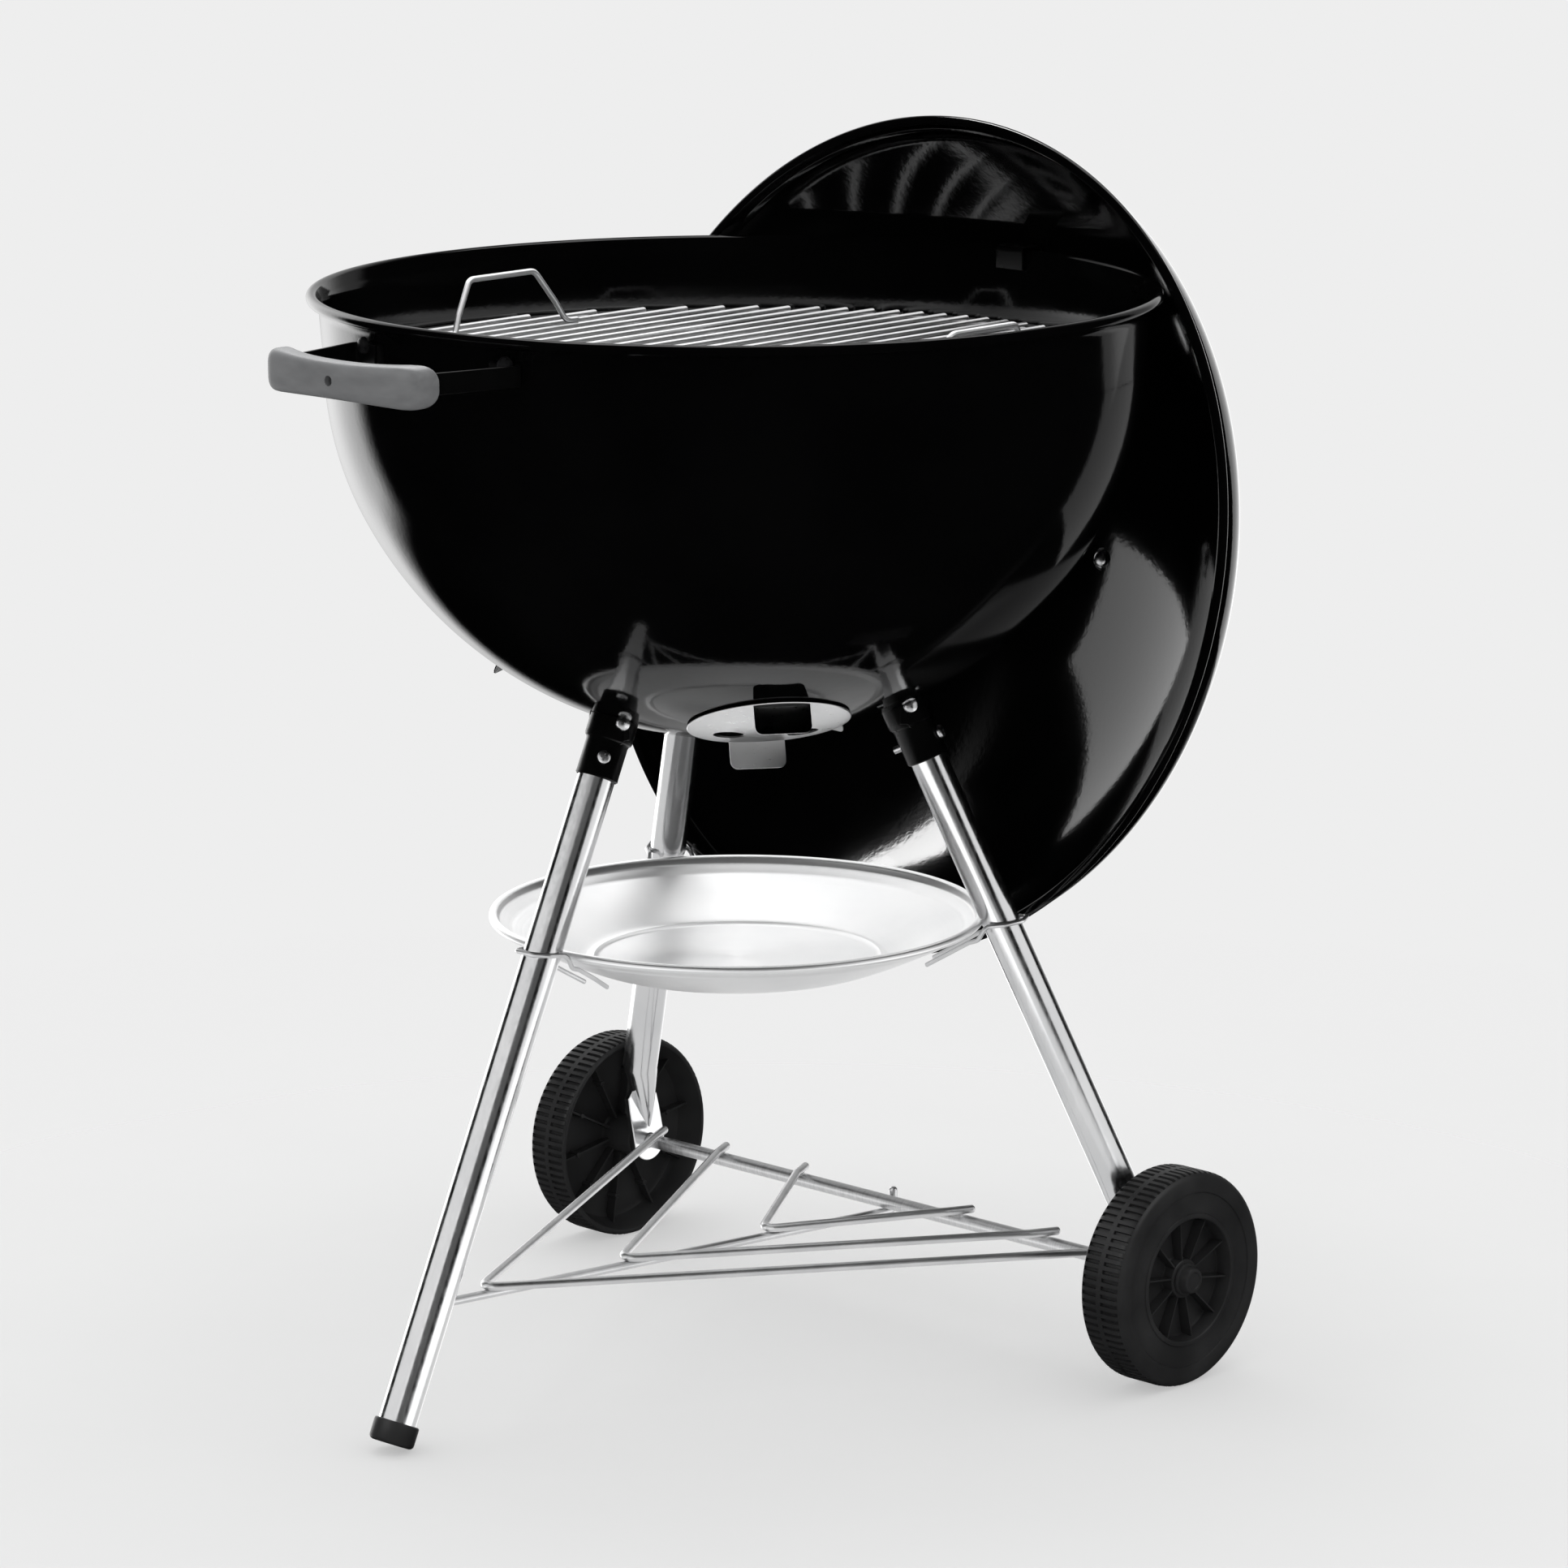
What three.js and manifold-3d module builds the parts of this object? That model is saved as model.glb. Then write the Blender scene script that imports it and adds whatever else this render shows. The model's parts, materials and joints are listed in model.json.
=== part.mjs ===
// Kettle charcoal grill, built as separate pieces. Millimetres, +Z up.
// +X runs from the bowl handle to the hung lid, +Y runs along the wheel axle.
import * as THREE from 'three';
import { mergeVertices } from 'three/addons/utils/BufferGeometryUtils.js';
import { ConvexGeometry } from 'three/addons/geometries/ConvexGeometry.js';
import Module from 'manifold-3d';

const wasm = await Module();
wasm.setup();

// ---- Driving dimensions -------------------------------------------------------------

const SHEET = 1.6; // enamelled steel sheet
const GAP = 0.35; // clearance kept between pieces that touch
const FACET = 1.4; // the flat facets of curved sheets cut this far inside the true curve

const RIM_RADIUS = 288; // 57 cm kettle
const RIM_HEIGHT = 742;
const RIM_BEAD = 3.8; // radius of the rolled edge
const NECK_RADIUS = 281;
const BOWL_SPHERE = 283.2; // lower bowl is part of a sphere
const BOWL_CENTRE_Z = 720.3;
const SHOULDER = 225.7; // turn between the sphere and the wall
const SHOULDER_ANGLE = THREE.MathUtils.degToRad(27.6);

const LEG_AZIMUTHS = { foot: 180, wheel_left: 60, wheel_right: -60 };
const LEG_RADIUS = 12.8;
const LEG_WALL = 1.2;
const LEG_AXIS_RADIUS = 99; // distance from the bowl axis at LEG_AXIS_Z
const LEG_AXIS_Z = 500;
const LEG_SPLAY = 0.463; // outward run per unit of drop
const LEG_TOP_Z = 446;
const SOCKET_RADIUS = 14.4;
const SOCKET_LOW_Z = 425;
const COLLAR_RADIUS = 16.6; // wider ring of the socket, against the bowl
const COLLAR_LOW_Z = 449;
const BOLT_Z = 437;
const BOLT_AZIMUTHS = { foot: 225, wheel_left: 60, wheel_right: -60 };
const BOLT_REACH = 30; // bolt holes are cut this far each way from the leg's middle

const WHEEL_RADIUS = 74.7;
const WHEEL_WIDTH = 35;
const WHEEL_OUTER_Y = 286.3;
const AXLE_X = 147;
const AXLE_RADIUS = 5;
const LEG_PLATE_Y = 238; // flattened leg ends stand inside the wheels
const LEG_PLATE_THICKNESS = 5;
const LEG_PLATE_WIDTH = 30;

const RACK_WIRE = 3;
const GRATE_Z = 687;
const GRATE_RING = 266.5;
const GRATE_BAR = 2.5;
const GRATE_PITCH = 18.4;
const GRATE_TURN = THREE.MathUtils.degToRad(3);
const CHARCOAL_RING = 210;
const CHARCOAL_Z = 548;
const CHARCOAL_PITCH = 20;

const DAMPER_RADIUS = 54;
const DAMPER_SHEET = 1.2;
const DAMPER_LIFT = 1.2; // damper stands this far off the bowl
const DAMPER_HOLE = 10.5;
const DAMPER_HOLE_CIRCLE = 29;
const DAMPER_AZIMUTHS = [-125, -5, 115];
const DAMPER_POLAR = THREE.MathUtils.degToRad(25);

const DISH_RADIUS = 170.4;
const DISH_TOP_Z = 313;
const DISH_FLOOR_Z = 277;
const DISH_FLOOR_RADIUS = 105;
const DISH_SHEET = 1.4;
const DISH_ROLL = 3; // radius of the rolled edge
const CLIP_WIRE = 1.6;

const LID_RADIUS = 293.5; // outer edge of the lid flange
const LID_WALL_RADIUS = 287.5;
const LID_DEPTH = 172;
const LID_WALL = 8;
const LID_CORNER = 40;
const LID_TILT = THREE.MathUtils.degToRad(-11.04);
const LID_CENTRE_X = 160.7;
const LID_CENTRE_Z = 552.5;
const LID_DAMPER_OFFSET = 125;
const LID_BOLT_Y = 46;

const HANDLE_LENGTH = 142;
const HANDLE_HEIGHT = 28;
const HANDLE_DEPTH = 15;
const HANDLE_BOW = 9;
const BOW_RADIUS = ((HANDLE_LENGTH / 2) ** 2 + HANDLE_BOW ** 2) / (2 * HANDLE_BOW);
const HANDLE_OUTER_X = -367;
const HANDLE_Z = 717;
const STRAP = 2.5;

// ---- Finishes -----------------------------------------------------------------------

function finish(color, roughness, metalness) {
  return new THREE.MeshStandardMaterial({ color, roughness, metalness });
}
const enamel = () => finish(0x060606, 0.12, 0.0);
const blackSteel = () => finish(0x111111, 0.45, 0.4);
const plating = () => finish(0xb9bcc0, 0.22, 1.0);
const aluminium = () => finish(0xc6c8ca, 0.35, 1.0);
const wirePlate = () => finish(0xc4c6c9, 0.25, 1.0);
const fastener = () => finish(0x9a9c9f, 0.35, 1.0);
const tyrePlastic = () => finish(0x141414, 0.55, 0.0);
const gripPlastic = () => finish(0x6e7073, 0.5, 0.0);
const axleSteel = () => finish(0xb4b6b8, 0.4, 0.9);

// ---- Geometry helpers ---------------------------------------------------------------

// Welds shared corners, drops empty triangles and turns every face outward.
function weld(geometry) {
  const bare = geometry.clone();
  bare.deleteAttribute('normal');
  bare.deleteAttribute('uv');
  const merged = mergeVertices(bare, 1e-3);
  const corner = merged.index.array;
  const kept = [];
  for (let i = 0; i < corner.length; i += 3) {
    const [a, b, c] = [corner[i], corner[i + 1], corner[i + 2]];
    if (a !== b && b !== c && c !== a) {
      kept.push(a, b, c);
    }
  }
  merged.setIndex(kept);
  if (signedVolume(merged) < 0) {
    merged.setIndex(kept.reverse());
  }
  return merged;
}

function signedVolume(geometry) {
  const place = geometry.attributes.position;
  const corner = geometry.index.array;
  const [a, b, c] = [new THREE.Vector3(), new THREE.Vector3(), new THREE.Vector3()];
  let sum = 0;
  for (let i = 0; i < corner.length; i += 3) {
    a.fromBufferAttribute(place, corner[i]);
    b.fromBufferAttribute(place, corner[i + 1]);
    c.fromBufferAttribute(place, corner[i + 2]);
    sum += a.dot(b.cross(c)) / 6;
  }
  return sum;
}

function solid(geometry, matrix = new THREE.Matrix4()) {
  const placed = weld(geometry.clone().applyMatrix4(matrix));
  const vertProperties = new Float32Array(placed.attributes.position.array);
  const triVerts = new Uint32Array(placed.index.array);
  return new wasm.Manifold(new wasm.Mesh({ numProp: 3, vertProperties, triVerts }));
}

function geometryOf(body) {
  const mesh = body.getMesh();
  const geometry = new THREE.BufferGeometry();
  const place = new Float32Array(mesh.vertProperties);
  geometry.setAttribute('position', new THREE.BufferAttribute(place, 3));
  geometry.setIndex(new THREE.BufferAttribute(new Uint32Array(mesh.triVerts), 1));
  return geometry;
}

function addPiece(parent, name, shape, material) {
  const geometry = shape instanceof THREE.BufferGeometry ? weld(shape) : geometryOf(shape);
  geometry.computeVertexNormals();
  const mesh = new THREE.Mesh(geometry, material);
  mesh.name = name;
  parent.add(mesh);
  return mesh;
}

// A turned shape about Z. Points are [radius, height].
function turned(points, segments) {
  const profile = points.map(([radius, height]) => new THREE.Vector2(radius, height));
  return new THREE.LatheGeometry(profile, segments).rotateX(Math.PI / 2);
}

function arcPoints(centreR, centreZ, radius, from, to, steps) {
  const points = [];
  for (let i = 0; i <= steps; i += 1) {
    const angle = from + ((to - from) * i) / steps;
    points.push([centreR + radius * Math.cos(angle), centreZ + radius * Math.sin(angle)]);
  }
  return points;
}

// A round bar from one point to another.
function bar(from, to, radius, sides = 16, radiusTo = radius) {
  const length = from.distanceTo(to);
  const along = to.clone().sub(from).normalize();
  const turn = new THREE.Quaternion().setFromUnitVectors(new THREE.Vector3(0, 1, 0), along);
  const middle = from.clone().add(to).multiplyScalar(0.5);
  const geometry = new THREE.CylinderGeometry(radiusTo, radius, length, sides);
  return geometry.applyMatrix4(new THREE.Matrix4().compose(middle, turn, new THREE.Vector3(1, 1, 1)));
}

function box(width, depth, height, x, y, z) {
  return new THREE.BoxGeometry(width, depth, height).translate(x, y, z);
}

// Places a shape drawn about Z so that its Z points along "axis" and its X leans toward "side".
function frameAt(origin, axis, side) {
  const z = axis.clone().normalize();
  const x = side.clone().addScaledVector(z, -side.dot(z)).normalize();
  const y = new THREE.Vector3().crossVectors(z, x);
  return new THREE.Matrix4().makeBasis(x, y, z).setPosition(origin);
}

// A wire route: straight runs between the corner points, each corner rounded.
class WireRoute extends THREE.Curve {
  constructor(corners, bend, arcSteps = 3) {
    super();
    this.stations = [corners[0].clone()];
    for (let i = 1; i < corners.length - 1; i += 1) {
      const into = corners[i].clone().sub(corners[i - 1]);
      const out = corners[i + 1].clone().sub(corners[i]);
      const turn = into.angleTo(out);
      const reach = Math.min(bend * Math.tan(turn / 2), into.length() * 0.49, out.length() * 0.49);
      const start = corners[i].clone().addScaledVector(into.normalize(), -reach);
      const end = corners[i].clone().addScaledVector(out.normalize(), reach);
      const curve = new THREE.QuadraticBezierCurve3(start, corners[i].clone(), end);
      this.stations.push(...curve.getPoints(arcSteps));
    }
    this.stations.push(corners[corners.length - 1].clone());
  }

  get steps() {
    return this.stations.length - 1;
  }

  getPoint(t) {
    const place = t * this.steps;
    const low = Math.min(Math.floor(place + 1e-9), this.steps - 1);
    return this.stations[low].clone().lerp(this.stations[low + 1], place - low);
  }

  getPointAt(u) {
    return this.getPoint(u);
  }

  getTangentAt(u) {
    const here = Math.round(u * this.steps);
    const before = this.stations[Math.max(here - 1, 0)];
    const after = this.stations[Math.min(here + 1, this.steps)];
    return after.clone().sub(before).normalize();
  }
}

function wire(corners, radius, bend, sides = 6, arcSteps = 3) {
  const route = new WireRoute(corners, bend, arcSteps);
  const section = new THREE.Shape().absarc(0, 0, radius, 0, Math.PI * 2);
  const options = { steps: route.steps, extrudePath: route, curveSegments: sides / 2 };
  return new THREE.ExtrudeGeometry(section, options);
}

// A flat strap bent along a route, drawn as an outline and extruded by "width".
function strap(route, thickness, width) {
  const near = [];
  const far = [];
  route.forEach((point, i) => {
    const before = route[Math.max(i - 1, 0)];
    const after = route[Math.min(i + 1, route.length - 1)];
    const into = new THREE.Vector2(point[0] - before[0], point[1] - before[1]);
    const out = new THREE.Vector2(after[0] - point[0], after[1] - point[1]);
    if (i === 0) {
      into.copy(out);
    }
    if (i === route.length - 1) {
      out.copy(into);
    }
    const mitre = into.normalize().add(out.normalize()).normalize();
    const stretch = 1 / Math.max(mitre.dot(out), 0.4);
    const side = [-mitre.y * stretch * thickness * 0.5, mitre.x * stretch * thickness * 0.5];
    near.push(new THREE.Vector2(point[0] + side[0], point[1] + side[1]));
    far.unshift(new THREE.Vector2(point[0] - side[0], point[1] - side[1]));
  });
  const outline = new THREE.Shape([...near, ...far]);
  return new THREE.ExtrudeGeometry(outline, { depth: width, bevelEnabled: false });
}

function polar(radius, degrees, z) {
  const angle = THREE.MathUtils.degToRad(degrees);
  return new THREE.Vector3(radius * Math.cos(angle), radius * Math.sin(angle), z);
}

// ---- Shared outlines ----------------------------------------------------------------

// Bowl wall from the pole up to the neck, "inset" inside the outer face.
function bowlWall(inset, sphereSteps, shoulderSteps) {
  const offset = BOWL_SPHERE - SHOULDER;
  const shoulderR = offset * Math.cos(SHOULDER_ANGLE);
  const shoulderZ = BOWL_CENTRE_Z - offset * Math.sin(SHOULDER_ANGLE);
  const sphereR = BOWL_SPHERE - inset;
  const sphere = arcPoints(0, BOWL_CENTRE_Z, sphereR, -Math.PI / 2, -SHOULDER_ANGLE, sphereSteps);
  const shoulder = arcPoints(shoulderR, shoulderZ, SHOULDER - inset, -SHOULDER_ANGLE, 0, shoulderSteps);
  sphere[0][0] = 0;
  return [...sphere, ...shoulder.slice(1)];
}

// Inner face radius of the bowl at a height in its spherical part or its wall.
function bowlInnerRadius(z) {
  const wallTop = bowlWall(SHEET, 24, 12);
  for (let i = 1; i < wallTop.length; i += 1) {
    const [lowR, lowZ] = wallTop[i - 1];
    const [highR, highZ] = wallTop[i];
    if (z <= highZ) {
      return lowR + ((highR - lowR) * (z - lowZ)) / (highZ - lowZ);
    }
  }
  return wallTop[wallTop.length - 1][0];
}

// Centre height and radius of the sphere that the lid dome belongs to.
const lidCornerR = LID_WALL_RADIUS - LID_CORNER;
const lidRise = LID_DEPTH - LID_WALL;
const LID_SPHERE =
  (lidRise * lidRise + lidCornerR * lidCornerR - LID_CORNER * LID_CORNER) / (2 * (lidRise - LID_CORNER));
const LID_SPHERE_Z = LID_DEPTH - LID_SPHERE;

function lidWall(inset, cornerSteps, sphereSteps) {
  const turn = Math.atan2(LID_WALL - LID_SPHERE_Z, lidCornerR);
  const corner = arcPoints(lidCornerR, LID_WALL, LID_CORNER - inset, 0, turn, cornerSteps);
  const sphere = arcPoints(0, LID_SPHERE_Z, LID_SPHERE - inset, turn, Math.PI / 2, sphereSteps);
  sphere[sphere.length - 1][0] = 0;
  return [...corner, ...sphere.slice(1)];
}

// ---- Assembly groups ----------------------------------------------------------------

const grill = new THREE.Group();
const assembly = new THREE.Group();
grill.add(assembly);

const lidAxis = new THREE.Vector3(Math.cos(LID_TILT), 0, Math.sin(LID_TILT));
const lidUp = new THREE.Vector3(-Math.sin(LID_TILT), 0, Math.cos(LID_TILT));
const lidMatrix = frameAt(new THREE.Vector3(LID_CENTRE_X, 0, LID_CENTRE_Z), lidAxis, lidUp);
const lidGroup = new THREE.Group();
lidMatrix.decompose(lidGroup.position, lidGroup.quaternion, lidGroup.scale);
assembly.add(lidGroup);

// ---- Dampers ------------------------------------------------------------------------

// Frame of a damper seat: origin at the sphere centre, Z out through the rivet, X up the slope.
function bowlDamperFrame(degrees) {
  const out = polar(Math.sin(DAMPER_POLAR), degrees, -Math.cos(DAMPER_POLAR));
  const upslope = polar(Math.cos(DAMPER_POLAR), degrees, Math.sin(DAMPER_POLAR));
  return frameAt(new THREE.Vector3(0, 0, BOWL_CENTRE_Z), out, upslope);
}

function lidDamperFrame() {
  const lean = Math.asin(LID_DAMPER_OFFSET / LID_SPHERE);
  const out = new THREE.Vector3(Math.sin(lean), 0, Math.cos(lean));
  const outward = new THREE.Vector3(Math.cos(lean), 0, -Math.sin(lean));
  return frameAt(new THREE.Vector3(0, 0, LID_SPHERE_Z), out, outward);
}

const CUT_REACH = 12; // cutters run this far past a sheet on both sides

// Round vent holes in a sheet of the given sphere radius, drawn in a damper seat frame.
function ventCutters(sphere) {
  const cutters = [];
  for (let i = 0; i < 3; i += 1) {
    const foot = polar(DAMPER_HOLE_CIRCLE, 120 * i, sphere - CUT_REACH);
    const top = polar(DAMPER_HOLE_CIRCLE, 120 * i, sphere + CUT_REACH);
    cutters.push(bar(foot, top, DAMPER_HOLE, 8));
  }
  return cutters;
}

const RIVET_RADIUS = 2.4;
const RIVET_HOLE = 3;
const RIVET_HEAD = 6;

// The hole a rivet passes, through a sheet at the given distance along Z.
function rivetHole(sphere) {
  const foot = new THREE.Vector3(0, 0, sphere - CUT_REACH);
  const top = new THREE.Vector3(0, 0, sphere + CUT_REACH);
  return bar(foot, top, RIVET_HOLE, 8);
}

const TAB_WIDTH = 38;
const TAB_HEIGHT = 19;

// A damper disc curved to the sheet it covers, with bent finger tabs.
function damperShape(sphere, tabSides) {
  const low = sphere + DAMPER_LIFT;
  const high = low + DAMPER_SHEET;
  const edge = Math.asin(DAMPER_RADIUS / high);
  const inside = arcPoints(0, 0, low, Math.PI / 2, Math.PI / 2 - edge, 2);
  const outside = arcPoints(0, 0, high, Math.PI / 2 - edge, Math.PI / 2, 2);
  inside[0][0] = 0;
  outside[outside.length - 1][0] = 0;
  let body = solid(turned([...inside, ...outside], 16));
  const rimZ = Math.sqrt(low * low - DAMPER_RADIUS * DAMPER_RADIUS);
  for (const side of tabSides) {
    const tabX = side * (DAMPER_RADIUS - 5);
    const tab = box(DAMPER_SHEET, TAB_WIDTH, TAB_HEIGHT + 1, tabX, 0, rimZ + 1.2 + TAB_HEIGHT / 2);
    body = body.add(solid(tab));
  }
  for (const cutter of [...ventCutters(sphere), rivetHole(sphere)]) {
    body = body.subtract(solid(cutter));
  }
  return body;
}

// The rivet a damper turns on, with a head on each side of both sheets.
function damperRivetShape(sphere) {
  const out = sphere + DAMPER_LIFT + DAMPER_SHEET + GAP;
  const into = sphere - SHEET - GAP - FACET;
  return turned(
    [
      [0, into - 2],
      [RIVET_HEAD - 1.5, into - 2],
      [RIVET_HEAD, into],
      [RIVET_RADIUS, into],
      [RIVET_RADIUS, out],
      [RIVET_HEAD, out],
      [RIVET_HEAD - 1, out + 2],
      [0, out + 2.6],
    ],
    10,
  );
}

function addDamper(parent, frame, sphere, name, rivetName, tabSides) {
  const seat = new THREE.Group();
  frame.decompose(seat.position, seat.quaternion, seat.scale);
  parent.add(seat);
  addPiece(seat, name, damperShape(sphere, tabSides), aluminium());
  addPiece(seat, rivetName, damperRivetShape(sphere), fastener());
}

// ---- Bowl ---------------------------------------------------------------------------

const HANDLE_FOOT_Y = 66;
const handleFootAngle = THREE.MathUtils.radToDeg(Math.asin(HANDLE_FOOT_Y / NECK_RADIUS));
const HANDLE_SCREW_Z = 724;
const SCREW_RADIUS = 2.6;
const SCREW_HOLE = 3.2;

function makeBowl() {
  const beadR = RIM_RADIUS - RIM_BEAD;
  const beadZ = RIM_HEIGHT - RIM_BEAD;
  const outer = bowlWall(0, 8, 2);
  const bead = arcPoints(beadR, beadZ, RIM_BEAD, -Math.PI * 0.7, Math.PI * 0.8, 4);
  const inner = bowlWall(SHEET, 6, 2).reverse();
  const neckZ = RIM_HEIGHT - 2 * RIM_BEAD - 0.5;
  const profile = [
    ...outer,
    [NECK_RADIUS, neckZ],
    ...bead,
    [NECK_RADIUS - SHEET, neckZ],
    ...inner,
  ];
  let body = solid(turned(profile, 36));
  for (const degrees of DAMPER_AZIMUTHS) {
    for (const cutter of [...ventCutters(BOWL_SPHERE), rivetHole(BOWL_SPHERE)]) {
      body = body.subtract(solid(cutter, bowlDamperFrame(degrees)));
    }
  }
  for (const side of [-1, 1]) {
    const azimuth = 180 + side * handleFootAngle;
    const hole = bar(
      polar(NECK_RADIUS - CUT_REACH, azimuth, HANDLE_SCREW_Z),
      polar(NECK_RADIUS + CUT_REACH, azimuth, HANDLE_SCREW_Z),
      SCREW_HOLE,
      8,
    );
    body = body.subtract(solid(hole));
  }
  addPiece(assembly, 'bowl', body, enamel());
  DAMPER_AZIMUTHS.forEach((degrees, i) => {
    const frame = bowlDamperFrame(degrees);
    addDamper(assembly, frame, BOWL_SPHERE, `bowl_damper_${i + 1}`, `bowl_damper_rivet_${i + 1}`, [-1, 1]);
  });
}

// ---- Legs, sockets, foot ------------------------------------------------------------

function legAxis(degrees, z) {
  return polar(LEG_AXIS_RADIUS + LEG_SPLAY * (LEG_AXIS_Z - z), degrees, z);
}

function legDirection(degrees) {
  return legAxis(degrees, 0).sub(legAxis(degrees, 100)).normalize();
}

// Direction square to a leg that its bolt's head faces.
function boltDirection(name) {
  const outward = polar(1, BOLT_AZIMUTHS[name], 0);
  const down = legDirection(LEG_AZIMUTHS[name]);
  return outward.addScaledVector(down, -outward.dot(down)).normalize();
}

function boltHole(name) {
  const centre = legAxis(LEG_AZIMUTHS[name], BOLT_Z);
  const reach = boltDirection(name).multiplyScalar(BOLT_REACH);
  return solid(bar(centre.clone().sub(reach), centre.clone().add(reach), SCREW_HOLE, 8));
}

function makeSocket(name, degrees) {
  const sleeveTop = legAxis(degrees, LEG_AXIS_Z);
  const sleeveEnd = legAxis(degrees, SOCKET_LOW_Z);
  const seatRadius = BOWL_SPHERE + FACET + 2 * GAP;
  const bowlBlock = new THREE.SphereGeometry(seatRadius, 36, 24).translate(0, 0, BOWL_CENTRE_Z);
  let body = solid(bar(sleeveTop, sleeveEnd, SOCKET_RADIUS, 16));
  const collarEnd = legAxis(degrees, COLLAR_LOW_Z);
  body = body.add(solid(bar(sleeveTop, collarEnd, COLLAR_RADIUS, 16)));
  body = body.subtract(solid(bowlBlock));
  body = body.subtract(solid(bar(sleeveTop, legAxis(degrees, 400), LEG_RADIUS + GAP + 0.3, 16)));
  body = body.subtract(boltHole(name));
  addPiece(assembly, `leg_socket_${name}`, body, blackSteel());
}

function makeBolt(name, degrees) {
  const head = SOCKET_RADIUS + GAP;
  const tip = -SOCKET_RADIUS - 5;
  const frame = frameAt(legAxis(degrees, BOLT_Z), boltDirection(name), legDirection(degrees));
  const profile = [
    [0, tip],
    [SCREW_RADIUS, tip],
    [SCREW_RADIUS, head],
    [6.5, head],
    [6.5, head + 2],
    [4.5, head + 4],
    [0, head + 4],
  ];
  const shape = turned(profile, 12).applyMatrix4(frame);
  addPiece(assembly, `leg_bolt_${name}`, shape, fastener());
}

function tube(from, to, radius, wall, sides = 12) {
  const reach = to.clone().sub(from).normalize().multiplyScalar(2);
  const bore = bar(from.clone().sub(reach), to.clone().add(reach), radius - wall, sides);
  return solid(bar(from, to, radius, sides)).subtract(solid(bore));
}

const FOOT_CAP_RADIUS = 15.4;
const FOOT_CAP_LENGTH = 21.5;
const FOOT_FLOOR = 5; // plastic under the tube end
const SPINE_LEG_Z = 92; // height at which the rack's long wire enters the foot leg
const SPINE_LEG_X = -LEG_AXIS_RADIUS - LEG_SPLAY * (LEG_AXIS_Z - SPINE_LEG_Z);

function makeFootLeg() {
  const degrees = LEG_AZIMUTHS.foot;
  const down = legDirection(degrees);
  const end = legAxis(degrees, 0);
  const tubeEnd = end.clone().addScaledVector(down, -FOOT_FLOOR - 8);
  let body = tube(legAxis(degrees, LEG_TOP_Z), tubeEnd, LEG_RADIUS, LEG_WALL);
  body = body.subtract(boltHole('foot'));
  const spineEnd = new THREE.Vector3(SPINE_LEG_X, 0, SPINE_LEG_Z);
  const spineInside = new THREE.Vector3(SPINE_LEG_X + 60, 0, SPINE_LEG_Z);
  body = body.subtract(solid(bar(spineInside, spineEnd, RACK_WIRE + 1, 12)));
  addPiece(assembly, 'leg_foot', body, plating());

  const frame = frameAt(end, down, new THREE.Vector3(0, 1, 0));
  const cap = turned(
    [
      [0, 20],
      [FOOT_CAP_RADIUS, 20],
      [FOOT_CAP_RADIUS, -FOOT_CAP_LENGTH],
      [LEG_RADIUS + GAP, -FOOT_CAP_LENGTH],
      [LEG_RADIUS + GAP, -FOOT_FLOOR - 8 + GAP],
      [0, -FOOT_FLOOR - 8 + GAP],
    ],
    20,
  ).applyMatrix4(frame);
  const aboveFloor = box(200, 200, 200, end.x, 0, 100);
  addPiece(assembly, 'foot_cap', solid(cap).intersect(solid(aboveFloor)), tyrePlastic());
}

const SQUEEZE_Z = 126; // the round tube ends and the taper starts
const PLATE_Z = 102; // the taper ends and the flat plate starts
const SEAM_LAP = 1; // joined pieces of a wheel leg run this far into each other
const SEAM_SWELL = 0.15; // the taper's ring stands this far outside the tube

// A round prism along a leg's line, between two heights.
function legPrism(degrees, high, low, radius) {
  return solid(new ConvexGeometry([...legRing(degrees, high, radius), ...legRing(degrees, low, radius)]));
}

// Twelve points round the leg's line, square to it, at a height.
function legRing(degrees, z, radius) {
  const frame = frameAt(legAxis(degrees, z), legDirection(degrees), new THREE.Vector3(0, 1, 0));
  const points = [];
  for (let i = 0; i < 12; i += 1) {
    const around = (i * Math.PI) / 6;
    const point = new THREE.Vector3(radius * Math.cos(around), radius * Math.sin(around), 0);
    points.push(point.applyMatrix4(frame));
  }
  return points;
}

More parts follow.
